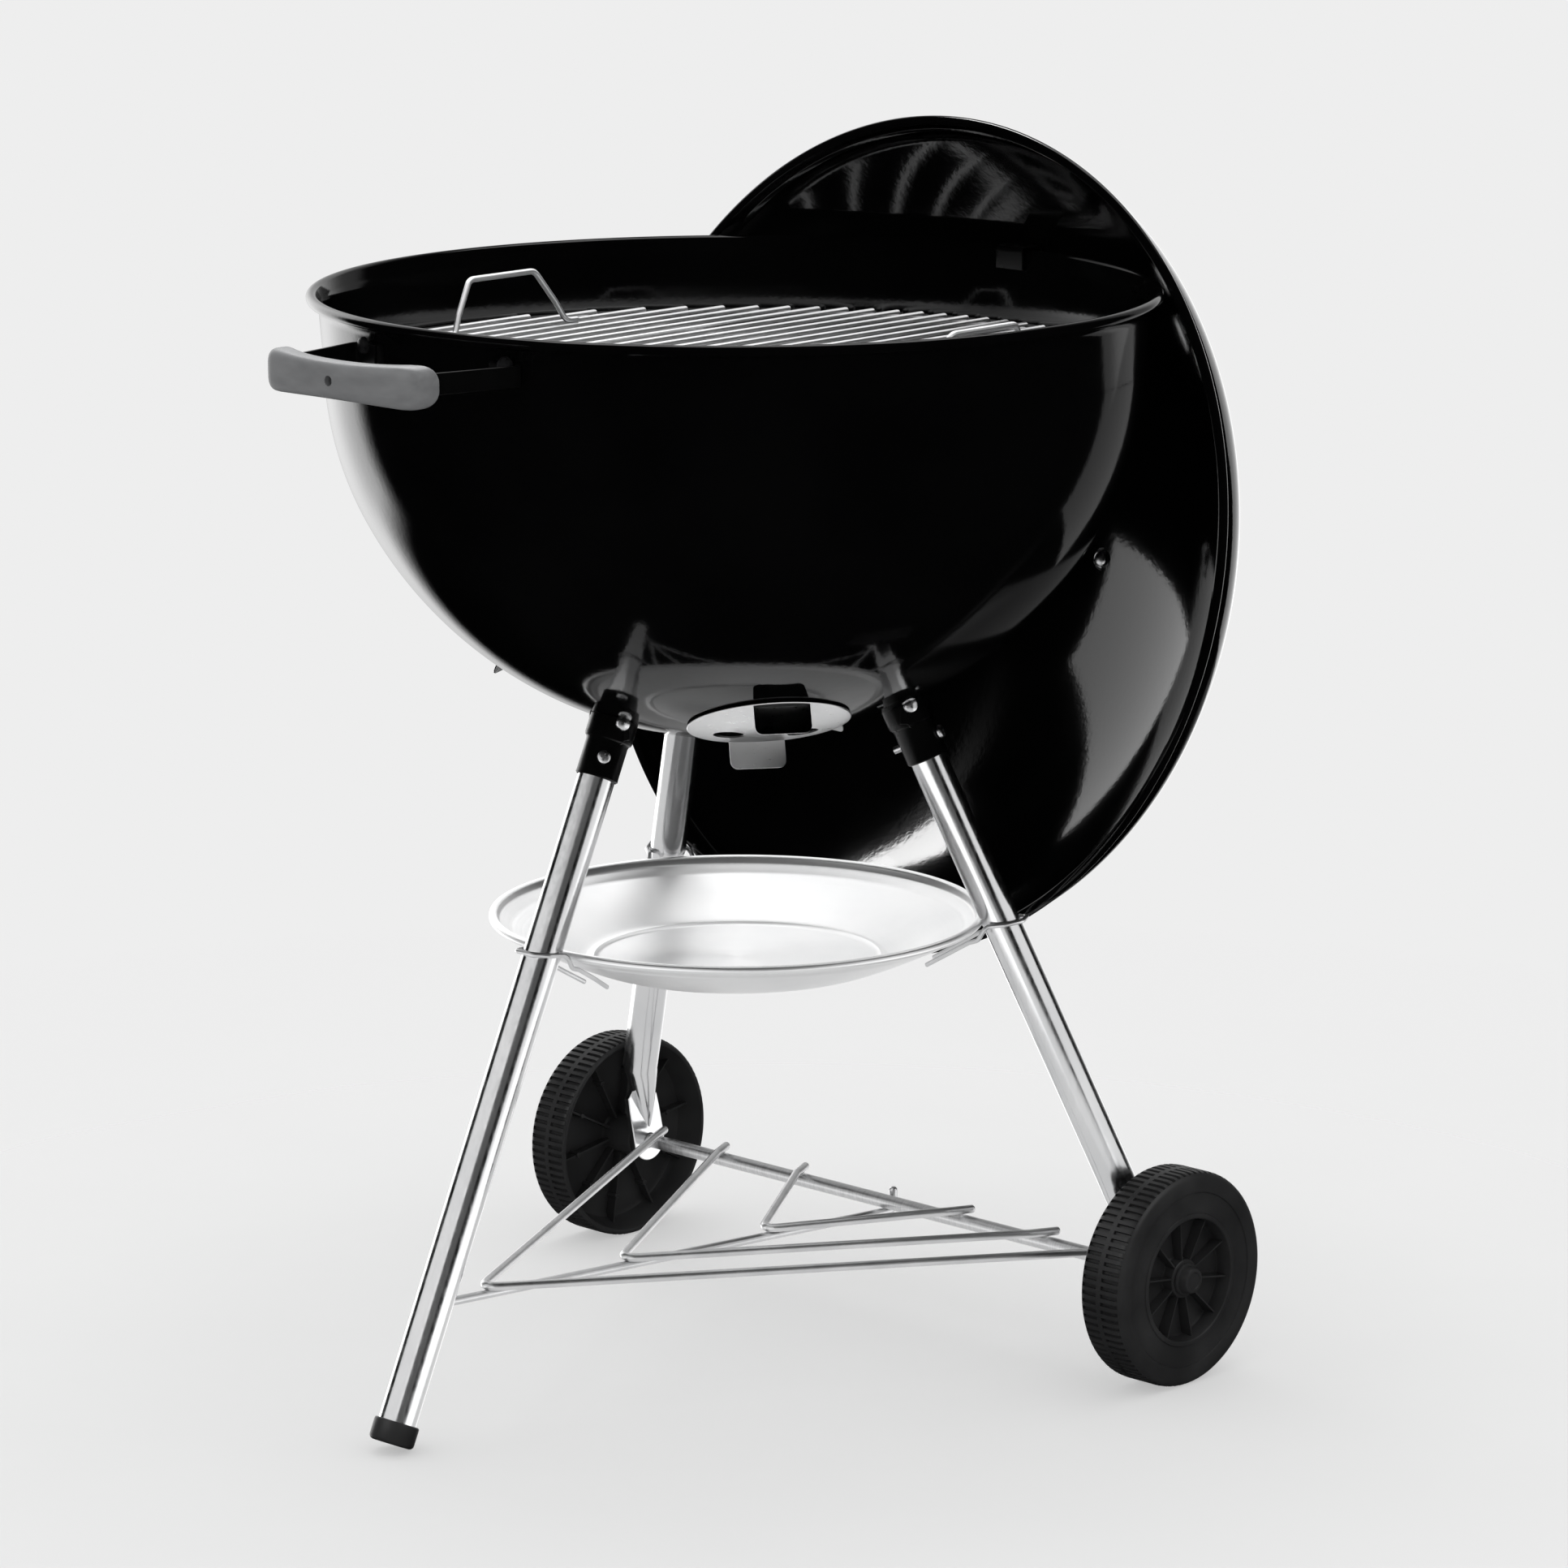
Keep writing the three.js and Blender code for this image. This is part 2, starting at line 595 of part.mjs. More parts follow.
// A wheel leg: a round tube squeezed flat at its lower end, where the axle passes.
function makeWheelLeg(name, degrees) {
  const side = Math.sign(degrees);
  let body = legPrism(degrees, LEG_TOP_Z, SQUEEZE_Z, LEG_RADIUS);
  body = body.subtract(legPrism(degrees, LEG_TOP_Z + 2, SQUEEZE_Z + 2 * SEAM_LAP, LEG_RADIUS - LEG_WALL));
  const axle = new THREE.Vector3(AXLE_X, side * LEG_PLATE_Y, WHEEL_RADIUS);
  const plateTop = new THREE.Vector3(legAxis(degrees, PLATE_Z).x, side * LEG_PLATE_Y, PLATE_Z);
  const points = legRing(degrees, SQUEEZE_Z + SEAM_LAP, LEG_RADIUS + SEAM_SWELL);
  for (const across of [-1, 1]) {
    for (const through of [-1, 1]) {
      const corner = new THREE.Vector3(across * LEG_PLATE_WIDTH, through * LEG_PLATE_THICKNESS, 0);
      points.push(plateTop.clone().addScaledVector(corner, 0.5));
    }
  }
  body = body.add(solid(new ConvexGeometry(points)));
  const tilt = Math.atan2(AXLE_X - plateTop.x, PLATE_Z - WHEEL_RADIUS);
  const half = LEG_PLATE_WIDTH / 2;
  const outline = new THREE.Shape();
  outline.moveTo(plateTop.x - half, PLATE_Z + SEAM_LAP);
  outline.absarc(AXLE_X, WHEEL_RADIUS, half, Math.PI + tilt, tilt, false);
  outline.lineTo(plateTop.x + half, PLATE_Z + SEAM_LAP);
  const options = { depth: LEG_PLATE_THICKNESS, bevelEnabled: false, curveSegments: 6 };
  const plate = new THREE.ExtrudeGeometry(outline, options).rotateX(Math.PI / 2);
  plate.translate(0, side * LEG_PLATE_Y + LEG_PLATE_THICKNESS / 2, 0);
  body = body.add(solid(plate));
  const across = new THREE.Vector3(0, 20, 0);
  const [axleFrom, axleTo] = [axle.clone().sub(across), axle.clone().add(across)];
  body = body.subtract(solid(bar(axleFrom, axleTo, AXLE_RADIUS + GAP, 14)));
  addPiece(assembly, `leg_${name}`, body.subtract(boltHole(name)), plating());
}

function makeLegs() {
  for (const [name, degrees] of Object.entries(LEG_AZIMUTHS)) {
    makeSocket(name, degrees);
    makeBolt(name, degrees);
  }
  makeFootLeg();
  makeWheelLeg('wheel_left', LEG_AZIMUTHS.wheel_left);
  makeWheelLeg('wheel_right', LEG_AZIMUTHS.wheel_right);
}

// ---- Axle and wheels ----------------------------------------------------------------

const HUB_INSET = 30; // hub face, measured from the inner face of the wheel
const AXLE_END_Y = 283.6;

// Section of a wheel: radius and distance outward from its inner face.
const WHEEL_SECTION = [
  [AXLE_RADIUS + GAP, -8],
  [12, -8],
  [14, 18],
  [60, 20],
  [67, 4],
  [69, 0],
  [72.5, 0],
  [WHEEL_RADIUS, 4],
  [WHEEL_RADIUS, 31],
  [71, WHEEL_WIDTH],
  [52, 33],
  [47, 28],
  [17, 27],
  [15, HUB_INSET],
  [AXLE_RADIUS + GAP, HUB_INSET],
];

function makeWheels() {
  const axleFrom = new THREE.Vector3(AXLE_X, -AXLE_END_Y, WHEEL_RADIUS);
  const axleTo = new THREE.Vector3(AXLE_X, AXLE_END_Y, WHEEL_RADIUS);
  addPiece(assembly, 'axle', bar(axleFrom, axleTo, AXLE_RADIUS, 14), axleSteel());
  for (const [name, side] of [['left', 1], ['right', -1]]) {
    const group = new THREE.Group();
    group.position.set(AXLE_X, side * (WHEEL_OUTER_Y - WHEEL_WIDTH), WHEEL_RADIUS);
    group.rotation.x = (-side * Math.PI) / 2;
    assembly.add(group);
    const section = [...WHEEL_SECTION, WHEEL_SECTION[0]];
    addPiece(group, `wheel_${name}`, turned(section, 24), tyrePlastic());
    const axleTip = AXLE_END_Y - (WHEEL_OUTER_Y - WHEEL_WIDTH);
    const cap = turned(
      [
        [0, axleTip + GAP],
        [AXLE_RADIUS + GAP, axleTip + GAP],
        [AXLE_RADIUS + GAP, HUB_INSET + GAP],
        [11, HUB_INSET + GAP],
        [11, HUB_INSET + 3],
        [7.5, HUB_INSET + 5.5],
        [0, HUB_INSET + 6],
      ],
      16,
    );
    addPiece(group, `hub_cap_${name}`, cap, tyrePlastic());
  }
}

// ---- Lower wire rack ----------------------------------------------------------------

const SPINE_AXLE_Z = WHEEL_RADIUS - AXLE_RADIUS - RACK_WIRE - 0.5;
const RACK_VEES = [
  { name: 'outer', apexX: -238, reach: 224 },
  { name: 'middle', apexX: -107, reach: 160 },
  { name: 'inner', apexX: 31, reach: 80 },
];

// Height of the rack's long wire, which slopes from the foot leg down to the axle.
function spineHeight(x) {
  const along = (x - SPINE_LEG_X) / (AXLE_X - SPINE_LEG_X);
  return SPINE_LEG_Z + (SPINE_AXLE_Z - SPINE_LEG_Z) * along;
}

function makeRack() {
  const wrap = AXLE_RADIUS + RACK_WIRE + 0.5;
  const spine = [
    new THREE.Vector3(SPINE_LEG_X + 4, 0, SPINE_LEG_Z),
    new THREE.Vector3(AXLE_X, 0, SPINE_AXLE_Z),
    new THREE.Vector3(AXLE_X + wrap + 2, 0, SPINE_AXLE_Z),
    new THREE.Vector3(AXLE_X + wrap + 2, 0, WHEEL_RADIUS + 6),
  ];
  addPiece(assembly, 'rack_spine', wire(spine, RACK_WIRE, 10), wirePlate());
  const overAxle = WHEEL_RADIUS + wrap;
  for (const { name, apexX, reach } of RACK_VEES) {
    const apexZ = spineHeight(apexX) + 2 * RACK_WIRE + 0.6;
    const arm = (side) => [
      new THREE.Vector3(AXLE_X + AXLE_RADIUS, side * (reach + 1), overAxle + 0.5),
      new THREE.Vector3(AXLE_X - 14, side * (reach - 8), overAxle + 0.5),
    ];
    const corners = [...arm(1), new THREE.Vector3(apexX - 8, 0, apexZ), ...arm(-1).reverse()];
    addPiece(assembly, `rack_wire_${name}`, wire(corners, RACK_WIRE, 16), wirePlate());
  }
}

// ---- Ash dish and its clips ---------------------------------------------------------

function makeDish() {
  const rollR = DISH_RADIUS - DISH_ROLL;
  const rollZ = DISH_TOP_Z - DISH_ROLL;
  const roll = arcPoints(rollR, rollZ, DISH_ROLL, -Math.PI * 0.5, Math.PI * 0.75, 4);
  const profile = [
    [0, DISH_FLOOR_Z],
    [DISH_FLOOR_RADIUS, DISH_FLOOR_Z],
    [DISH_FLOOR_RADIUS + 14, DISH_FLOOR_Z + 4],
    [DISH_RADIUS - 10, DISH_TOP_Z - 9],
    ...roll,
    [DISH_RADIUS - 11, DISH_TOP_Z - 9 + DISH_SHEET],
    [DISH_FLOOR_RADIUS + 13, DISH_FLOOR_Z + 4 + DISH_SHEET],
    [DISH_FLOOR_RADIUS - 0.5, DISH_FLOOR_Z + DISH_SHEET],
    [0, DISH_FLOOR_Z + DISH_SHEET],
  ];
  addPiece(assembly, 'ash_dish', turned(profile, 32), aluminium());

  const side = LEG_RADIUS + CLIP_WIRE + 0.6;
  for (const [name, degrees] of Object.entries(LEG_AZIMUTHS)) {
    const place = (radius, across, z) => {
      return polar(radius, degrees, z).add(polar(across, degrees + 90, 0));
    };
    const armIn = (sign) => [
      place(134, sign * (side - 3), 281),
      place(142, sign * side, 281),
      place(172, sign * side, 300),
      place(192, sign * side, 312),
      place(201.5, sign * 8, 318),
    ];
    const corners = [...armIn(1), ...armIn(-1).reverse()];
    addPiece(assembly, `dish_clip_${name}`, wire(corners, CLIP_WIRE, 6, 4, 2), wirePlate());
  }
}

// ---- Grates -------------------------------------------------------------------------

const RING_WIRE = 3;
const BAR_BITE = 1.6; // bars are welded this far into the ring

// A round wire grille: a ring under parallel bars, with two cross bars below the bars.
function grateShape(ringRadius, pitch, ringWire) {
  const [inner, outer] = [ringRadius - ringWire, ringRadius + ringWire];
  const section = [
    [inner, -ringWire],
    [outer, -ringWire],
    [outer, ringWire],
    [inner, ringWire],
    [inner, -ringWire],
  ];
  let body = solid(turned(section, 36));
  const barSize = 2 * GRATE_BAR;
  const barZ = ringWire + GRATE_BAR - BAR_BITE;
  const count = Math.floor(ringRadius / pitch - 0.3);
  for (let i = -count; i <= count; i += 1) {
    const y = i * pitch;
    const length = 2 * Math.sqrt(ringRadius * ringRadius - y * y);
    body = body.add(solid(box(length, barSize, barSize, 0, y, barZ)));
  }
  for (const x of [-0.42 * ringRadius, 0.42 * ringRadius]) {
    const length = 2 * Math.sqrt(ringRadius * ringRadius - x * x);
    body = body.add(solid(box(barSize, length, barSize, x, 0, -0.2)));
  }
  return body;
}

const BAIL_DISTANCE = 206;
const BAIL_FOOT = 118;
const BAIL_TOP = 70;
const BAIL_HEIGHT = 45;
const BAIL_WIRE = 2.6;
const GRATE_TOP = RING_WIRE + 2 * GRATE_BAR - BAR_BITE;

function makeGrates() {
  const cooking = new THREE.Group();
  cooking.position.z = GRATE_Z;
  assembly.add(cooking);
  const foodGrille = grateShape(GRATE_RING, GRATE_PITCH, RING_WIRE);
  const grille = addPiece(cooking, 'cooking_grate', foodGrille, wirePlate());
  grille.rotation.z = GRATE_TURN;
  for (const [name, degrees] of [['left', 92], ['right', -88]]) {
    const place = (across, out, z) => polar(out, degrees, z).add(polar(across, degrees + 90, 0));
    const low = GRATE_TOP + BAIL_WIRE + 0.4;
    const corners = [
      place(BAIL_FOOT / 2 + 10, BAIL_DISTANCE - 1, low),
      place(BAIL_FOOT / 2, BAIL_DISTANCE, low),
      place(BAIL_TOP / 2, BAIL_DISTANCE + 8, BAIL_HEIGHT),
      place(-BAIL_TOP / 2, BAIL_DISTANCE + 8, BAIL_HEIGHT),
      place(-BAIL_FOOT / 2, BAIL_DISTANCE, low),
      place(-BAIL_FOOT / 2 - 10, BAIL_DISTANCE - 1, low),
    ];
    addPiece(cooking, `grate_handle_${name}`, wire(corners, BAIL_WIRE, 8), wirePlate());
  }
  const coalGrille = grateShape(CHARCOAL_RING, CHARCOAL_PITCH, RING_WIRE);
  const charcoal = addPiece(assembly, 'charcoal_grate', coalGrille, blackSteel());
  charcoal.position.z = CHARCOAL_Z;
  charcoal.rotation.z = GRATE_TURN + Math.PI / 2;
}

const BRACKET_OFFSET = 4.6; // strap middle to bowl wall
const BRACKET_DROP = 26;
const BRACKET_WIDTH = 22;
const BRACKET_AZIMUTHS = [40, 160, -80];
const LEDGE = 2; // thickness of the bracket steel

// Steel angle brackets inside the bowl that the two grates rest on.
function makeBrackets() {
  const ledges = [
    { label: 'cooking', ringRadius: GRATE_RING, z: GRATE_Z },
    { label: 'charcoal', ringRadius: CHARCOAL_RING, z: CHARCOAL_Z },
  ];
  for (const { label, ringRadius, z } of ledges) {
    const ledgeZ = z - RING_WIRE - GAP - 0.2 - LEDGE / 2;
    const topR = bowlInnerRadius(ledgeZ) - BRACKET_OFFSET;
    const lowR = bowlInnerRadius(ledgeZ - BRACKET_DROP) - BRACKET_OFFSET;
    const route = [
      [ringRadius - 9, ledgeZ],
      [topR, ledgeZ],
      [lowR, ledgeZ - BRACKET_DROP],
    ];
    BRACKET_AZIMUTHS.forEach((degrees, i) => {
      const frame = new THREE.Matrix4().makeRotationZ(THREE.MathUtils.degToRad(degrees));
      const shape = strap(route, LEDGE, BRACKET_WIDTH).rotateX(Math.PI / 2);
      shape.translate(0, BRACKET_WIDTH / 2, 0).applyMatrix4(frame);
      addPiece(assembly, `${label}_grate_bracket_${i + 1}`, shape, blackSteel());
    });
  }
}

// ---- Handles ------------------------------------------------------------------------

// A bowed grip. Drawn in plan: its back toward +X, its bowed face toward -X at x = 0.
function gripShape() {
  const sweep = Math.asin(HANDLE_LENGTH / 2 / BOW_RADIUS);
  const bevel = 3.5;
  const outline = new THREE.Shape();
  outline.absarc(BOW_RADIUS, 0, BOW_RADIUS - bevel, Math.PI - sweep, Math.PI + sweep, false);
  outline.absarc(BOW_RADIUS, 0, BOW_RADIUS - HANDLE_DEPTH + bevel, Math.PI + sweep, Math.PI - sweep, true);
  const options = {
    depth: HANDLE_HEIGHT - 2 * bevel,
    bevelSize: bevel,
    bevelThickness: bevel,
    bevelSegments: 1,
    curveSegments: 6,
  };
  const grip = new THREE.ExtrudeGeometry(outline, options).translate(0, 0, -HANDLE_HEIGHT / 2 + bevel);
  const screwHole = bar(new THREE.Vector3(-20, 0, 0), new THREE.Vector3(40, 0, 0), SCREW_HOLE, 14);
  return solid(grip).subtract(solid(screwHole));
}

// Screw that holds a grip to its strap, its head on the finger side.
function gripScrewShape(strapX) {
  const headX = strapX + STRAP / 2 + 2 * GAP;
  const head = new THREE.Vector3(headX, 0, 0);
  const frame = frameAt(head, new THREE.Vector3(1, 0, 0), new THREE.Vector3(0, 0, 1));
  const profile = [
    [0, -14],
    [SCREW_RADIUS, -14],
    [SCREW_RADIUS, 0],
    [5.5, 0],
    [4.5, 3],
    [0, 3.4],
  ];
  return turned(profile, 10).applyMatrix4(frame);
}

const STRAP_X = HANDLE_DEPTH + STRAP / 2 + 0.6; // strap behind the grip at mid length
const STRAP_WIDTH = 18;

// Route of the strap behind a grip, from one end of the grip to the other.
function strapBehindGrip() {
  const route = [];
  const half = HANDLE_LENGTH / 2 - 8;
  const inner = BOW_RADIUS - STRAP_X;
  for (const along of [1, 0.55, 0.12, -0.12, -0.55, -1]) {
    const y = along * half;
    route.push([BOW_RADIUS - Math.sqrt(inner * inner - y * y), y]);
  }
  return route;
}

const FOOT_STAND_OFF = 2.4; // middle of the strap's feet, out from the bowl

function makeBowlHandle() {
  const group = new THREE.Group();
  group.position.set(HANDLE_OUTER_X, 0, HANDLE_Z);
  assembly.add(group);
  addPiece(group, 'bowl_handle', gripShape(), gripPlastic());
  addPiece(group, 'bowl_handle_screw', gripScrewShape(STRAP_X), fastener());
  const foot = (side, shift) => {
    const spot = polar(NECK_RADIUS + FOOT_STAND_OFF, 180 - side * handleFootAngle, 0);
    spot.add(polar(shift, 90 - side * handleFootAngle, 0));
    return [spot.x - HANDLE_OUTER_X, spot.y];
  };
  const route = [
    foot(1, -13),
    foot(1, 13),
    ...strapBehindGrip(),
    foot(-1, -13),
    foot(-1, 13),
  ];
  let body = solid(strap(route, STRAP, STRAP_WIDTH).translate(0, 0, -STRAP_WIDTH / 2 + 3));
  const holeAt = new THREE.Vector3(STRAP_X, 0, 0);
  const reach = new THREE.Vector3(8, 0, 0);
  body = body.subtract(solid(bar(holeAt.clone().sub(reach), holeAt.clone().add(reach), SCREW_HOLE, 8)));
  for (const side of [-1, 1]) {
    const azimuth = 180 - side * handleFootAngle;
    const shift = new THREE.Vector3(HANDLE_OUTER_X, 0, HANDLE_Z);
    const near = polar(NECK_RADIUS - CUT_REACH, azimuth, HANDLE_SCREW_Z).sub(shift);
    const far = polar(NECK_RADIUS + CUT_REACH, azimuth, HANDLE_SCREW_Z).sub(shift);
    body = body.subtract(solid(bar(near, far, SCREW_HOLE, 8)));
  }
  addPiece(group, 'bowl_handle_bracket', body, blackSteel());
  for (const [name, side] of [['left', 1], ['right', -1]]) {
    const azimuth = 180 - side * handleFootAngle;
    const head = NECK_RADIUS + FOOT_STAND_OFF + STRAP / 2 + GAP;
    const nut = bowlInnerRadius(HANDLE_SCREW_Z) - GAP - FACET;
    const centre = new THREE.Vector3(0, 0, HANDLE_SCREW_Z);
    const frame = frameAt(centre, polar(1, azimuth, 0), new THREE.Vector3(0, 0, 1));
    const profile = [
      [0, nut - 2.5],
      [5, nut - 2.5],
      [5, nut],
      [SCREW_RADIUS, nut],
      [SCREW_RADIUS, head],
      [5.8, head],
      [4.6, head + 3],
      [0, head + 3.6],
    ];
    const shape = turned(profile, 14).applyMatrix4(frame);
    addPiece(assembly, `bracket_screw_${name}`, shape, fastener());
  }
}

// ---- Lid ----------------------------------------------------------------------------

const LID_HANDLE_HEIGHT = 62; // bowed face of the lid grip above the dome
const LID_FOOT_STAND_OFF = 4.4; // middle of the lid strap's feet, out from the dome
const SHIELD_LENGTH = 144; // metal sheet between the lid and its grip
const SHIELD_WIDTH = 62;
const HOOK_WIDTH = 25;
const HOOK_RIVETS_Z = [724, 706];

function lidBoltCutter(y) {
  const from = new THREE.Vector3(0, y, LID_DEPTH - 30);
  return bar(from, new THREE.Vector3(0, y, LID_DEPTH + 30), SCREW_HOLE, 8);
}

// Point on the inner face of the dome in the upright plane, at a height above the floor.
function lidInnerX(z) {
  const radius = LID_SPHERE - SHEET;
  const centreX = LID_CENTRE_X + lidAxis.x * LID_SPHERE_Z;
  const centreZ = LID_CENTRE_Z + lidAxis.z * LID_SPHERE_Z;
  return centreX + Math.sqrt(radius * radius - (z - centreZ) * (z - centreZ));
}

// Line through a hook rivet: square to the dome, from inside to outside.
function hookRivetFrame(z) {
  const centre = new THREE.Vector3(
    LID_CENTRE_X + lidAxis.x * LID_SPHERE_Z,
    0,
    LID_CENTRE_Z + lidAxis.z * LID_SPHERE_Z,
  );
  const spot = new THREE.Vector3(lidInnerX(z), 0, z);
  return frameAt(spot, spot.clone().sub(centre), new THREE.Vector3(0, 1, 0));
}

function makeLid() {
  const outer = lidWall(0, 3, 7);
  const inner = lidWall(SHEET, 2, 6).reverse();
  const flange = LID_RADIUS - 2.2;
  const profile = [
    [LID_WALL_RADIUS - SHEET, 0.4],
    [LID_WALL_RADIUS - 0.4, -0.2],
    ...arcPoints(flange, 2.2, 2.2, -Math.PI / 2, Math.PI / 2, 3),
    [LID_WALL_RADIUS, 5],
    ...outer,
    ...inner,
    [LID_WALL_RADIUS - SHEET, 0.4],
  ];
  let body = solid(turned(profile, 36));
  for (const cutter of [...ventCutters(LID_SPHERE), rivetHole(LID_SPHERE)]) {
    body = body.subtract(solid(cutter, lidDamperFrame()));
  }
  for (const side of [-1, 1]) {
    body = body.subtract(solid(lidBoltCutter(side * LID_BOLT_Y)));
  }
  const toLid = lidMatrix.clone().invert();
  for (const z of HOOK_RIVETS_Z) {
    body = body.subtract(solid(rivetHole(0), toLid.clone().multiply(hookRivetFrame(z))));
  }
  addPiece(lidGroup, 'lid', body, enamel());
  addDamper(lidGroup, lidDamperFrame(), LID_SPHERE, 'lid_damper', 'lid_damper_rivet', [1]);
}

function makeLidHook() {
  const standOff = 3.6;
  const low = 694;
  const high = 736;
  const overRim = RIM_HEIGHT + GAP + 1;
  const route = [
    [lidInnerX(low) - standOff, low],
    [lidInnerX(high) - standOff, high],
    [lidInnerX(high) - standOff - 3.5, overRim],
    [NECK_RADIUS - 5.2, overRim],
    [NECK_RADIUS - 5.2, overRim - 15],
  ];
  const sheet = strap(route, 2, HOOK_WIDTH).rotateX(Math.PI / 2).translate(0, HOOK_WIDTH / 2, 0);
  let body = solid(sheet);
  for (const z of HOOK_RIVETS_Z) {
    body = body.subtract(solid(rivetHole(0), hookRivetFrame(z)));
  }
  addPiece(assembly, 'lid_hook', body, blackSteel());
  HOOK_RIVETS_Z.forEach((z, i) => {
    const into = -standOff - 1.6 - GAP;
    const out = SHEET + GAP + 0.2;
    const profile = [
      [0, into - 1.6],
      [4.5, into - 1.6],
      [5.5, into],
      [RIVET_RADIUS, into],
      [RIVET_RADIUS, out],
      [5.5, out],
      [4.5, out + 1.6],
      [0, out + 2],
    ];
    const shape = turned(profile, 14).applyMatrix4(hookRivetFrame(z));
    addPiece(assembly, `hook_rivet_${i + 1}`, shape, fastener());
  });
}

function makeLidHandle() {
  const group = new THREE.Group();
  // The grip drawing has its bowed face toward -X; here that face points away from the dome.
  group.rotation.y = Math.PI / 2;
  group.position.z = LID_DEPTH + LID_HANDLE_HEIGHT;
  lidGroup.add(group);
  addPiece(group, 'lid_handle', gripShape(), gripPlastic());
  addPiece(group, 'lid_handle_screw', gripScrewShape(STRAP_X), fastener());

  // Feet of the strap lie on the heat shield; x grows toward the dome in this drawing.
  const dip = LID_SPHERE - Math.sqrt(LID_SPHERE ** 2 - LID_BOLT_Y ** 2);
  const footX = LID_HANDLE_HEIGHT + dip - LID_FOOT_STAND_OFF;
  const lean = LID_BOLT_Y / LID_SPHERE;
  const foot = (side, along) => [footX + along * lean, side * (LID_BOLT_Y + along)];
  const route = [
    foot(1, -14),
    foot(1, 13),
    ...strapBehindGrip(),
    foot(-1, 13),
    foot(-1, -14),
  ];
  let body = solid(strap(route, STRAP, STRAP_WIDTH).translate(0, 0, -STRAP_WIDTH / 2));
  const reach = new THREE.Vector3(14, 0, 0);
  for (const [x, y] of [[STRAP_X, 0], [footX, LID_BOLT_Y], [footX, -LID_BOLT_Y]]) {
    const at = new THREE.Vector3(x, y, 0);
    body = body.subtract(solid(bar(at.clone().sub(reach), at.clone().add(reach), SCREW_HOLE, 8)));
  }
  addPiece(group, 'lid_handle_bracket', body, blackSteel());

  const sweep = Math.asin(SHIELD_LENGTH / 2 / LID_SPHERE);
  const low = LID_SPHERE + 0.6;
  const outline = new THREE.Shape();
  outline.absarc(0, LID_SPHERE_Z, low, Math.PI / 2 - sweep, Math.PI / 2 + sweep, false);
  outline.absarc(0, LID_SPHERE_Z, low + 1.2, Math.PI / 2 + sweep, Math.PI / 2 - sweep, true);
  const options = { depth: SHIELD_WIDTH, bevelEnabled: false, curveSegments: 5 };
  const sheet = new THREE.ExtrudeGeometry(outline, options).translate(0, 0, -SHIELD_WIDTH / 2);
  sheet.rotateX(Math.PI / 2).rotateZ(Math.PI / 2);
  let shield = solid(sheet);
  for (const side of [-1, 1]) {
    shield = shield.subtract(solid(lidBoltCutter(side * LID_BOLT_Y)));
  }
  addPiece(lidGroup, 'lid_heat_shield', shield, plating());

  for (const [name, side] of [['left', 1], ['right', -1]]) {
    const skin = LID_SPHERE_Z + Math.sqrt(LID_SPHERE ** 2 - LID_BOLT_Y ** 2);
    const into = skin - SHEET - GAP - FACET;
    const out = skin + LID_FOOT_STAND_OFF + STRAP / 2 + 1.4;
    const profile = [
      [0, into - 4],
      [5, into - 4],
      [6.5, into - 2],
      [6.5, into],
      [SCREW_RADIUS, into],
      [SCREW_RADIUS, out],
      [6, out],
      [6, out + 4],
      [0, out + 4],
    ];
    const shape = turned(profile, 10).translate(0, side * LID_BOLT_Y, 0);
    addPiece(lidGroup, `lid_handle_bolt_${name}`, shape, fastener());
  }
}

// ---- Build --------------------------------------------------------------------------

makeBowl();
makeLegs();
makeWheels();
makeRack();
makeDish();
makeGrates();
makeBrackets();
makeBowlHandle();
makeLid();
makeLidHook();
makeLidHandle();

// The origin is the middle of the bounding box, on the floor.
grill.updateMatrixWorld(true);
const bounds = new THREE.Box3().setFromObject(assembly, true);
assembly.position.x = -(bounds.min.x + bounds.max.x) / 2;
assembly.position.y = -(bounds.min.y + bounds.max.y) / 2;
assembly.position.z = -bounds.min.z;

export default grill;
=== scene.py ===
"""Kettle charcoal grill: fine meshes, finishes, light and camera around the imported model.

Shapes are drawn in millimetres with the bowl's axis at x = y = 0, then moved into the row frame,
which is in metres.
"""
import json
import math
from functools import partial

import bmesh
import bpy
from mathutils import Matrix, Quaternion, Vector

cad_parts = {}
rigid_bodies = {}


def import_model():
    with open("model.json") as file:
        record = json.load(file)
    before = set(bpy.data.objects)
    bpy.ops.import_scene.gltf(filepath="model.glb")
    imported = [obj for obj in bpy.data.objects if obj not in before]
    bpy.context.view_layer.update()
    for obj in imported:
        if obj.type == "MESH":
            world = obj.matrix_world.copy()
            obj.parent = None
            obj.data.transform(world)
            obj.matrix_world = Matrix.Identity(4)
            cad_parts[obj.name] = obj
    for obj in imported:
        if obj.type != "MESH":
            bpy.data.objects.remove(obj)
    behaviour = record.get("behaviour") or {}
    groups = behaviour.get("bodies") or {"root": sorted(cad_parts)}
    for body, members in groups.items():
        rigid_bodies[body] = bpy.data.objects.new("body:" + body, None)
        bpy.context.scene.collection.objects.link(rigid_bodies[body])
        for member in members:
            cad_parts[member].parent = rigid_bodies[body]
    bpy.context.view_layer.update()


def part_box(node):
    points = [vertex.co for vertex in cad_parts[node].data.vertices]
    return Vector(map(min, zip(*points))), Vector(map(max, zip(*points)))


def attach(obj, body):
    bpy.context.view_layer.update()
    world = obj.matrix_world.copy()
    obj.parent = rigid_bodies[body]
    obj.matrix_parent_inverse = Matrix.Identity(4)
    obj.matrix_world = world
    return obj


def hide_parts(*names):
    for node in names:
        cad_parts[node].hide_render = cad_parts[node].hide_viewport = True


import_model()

# ---- Sizes, in millimetres ----

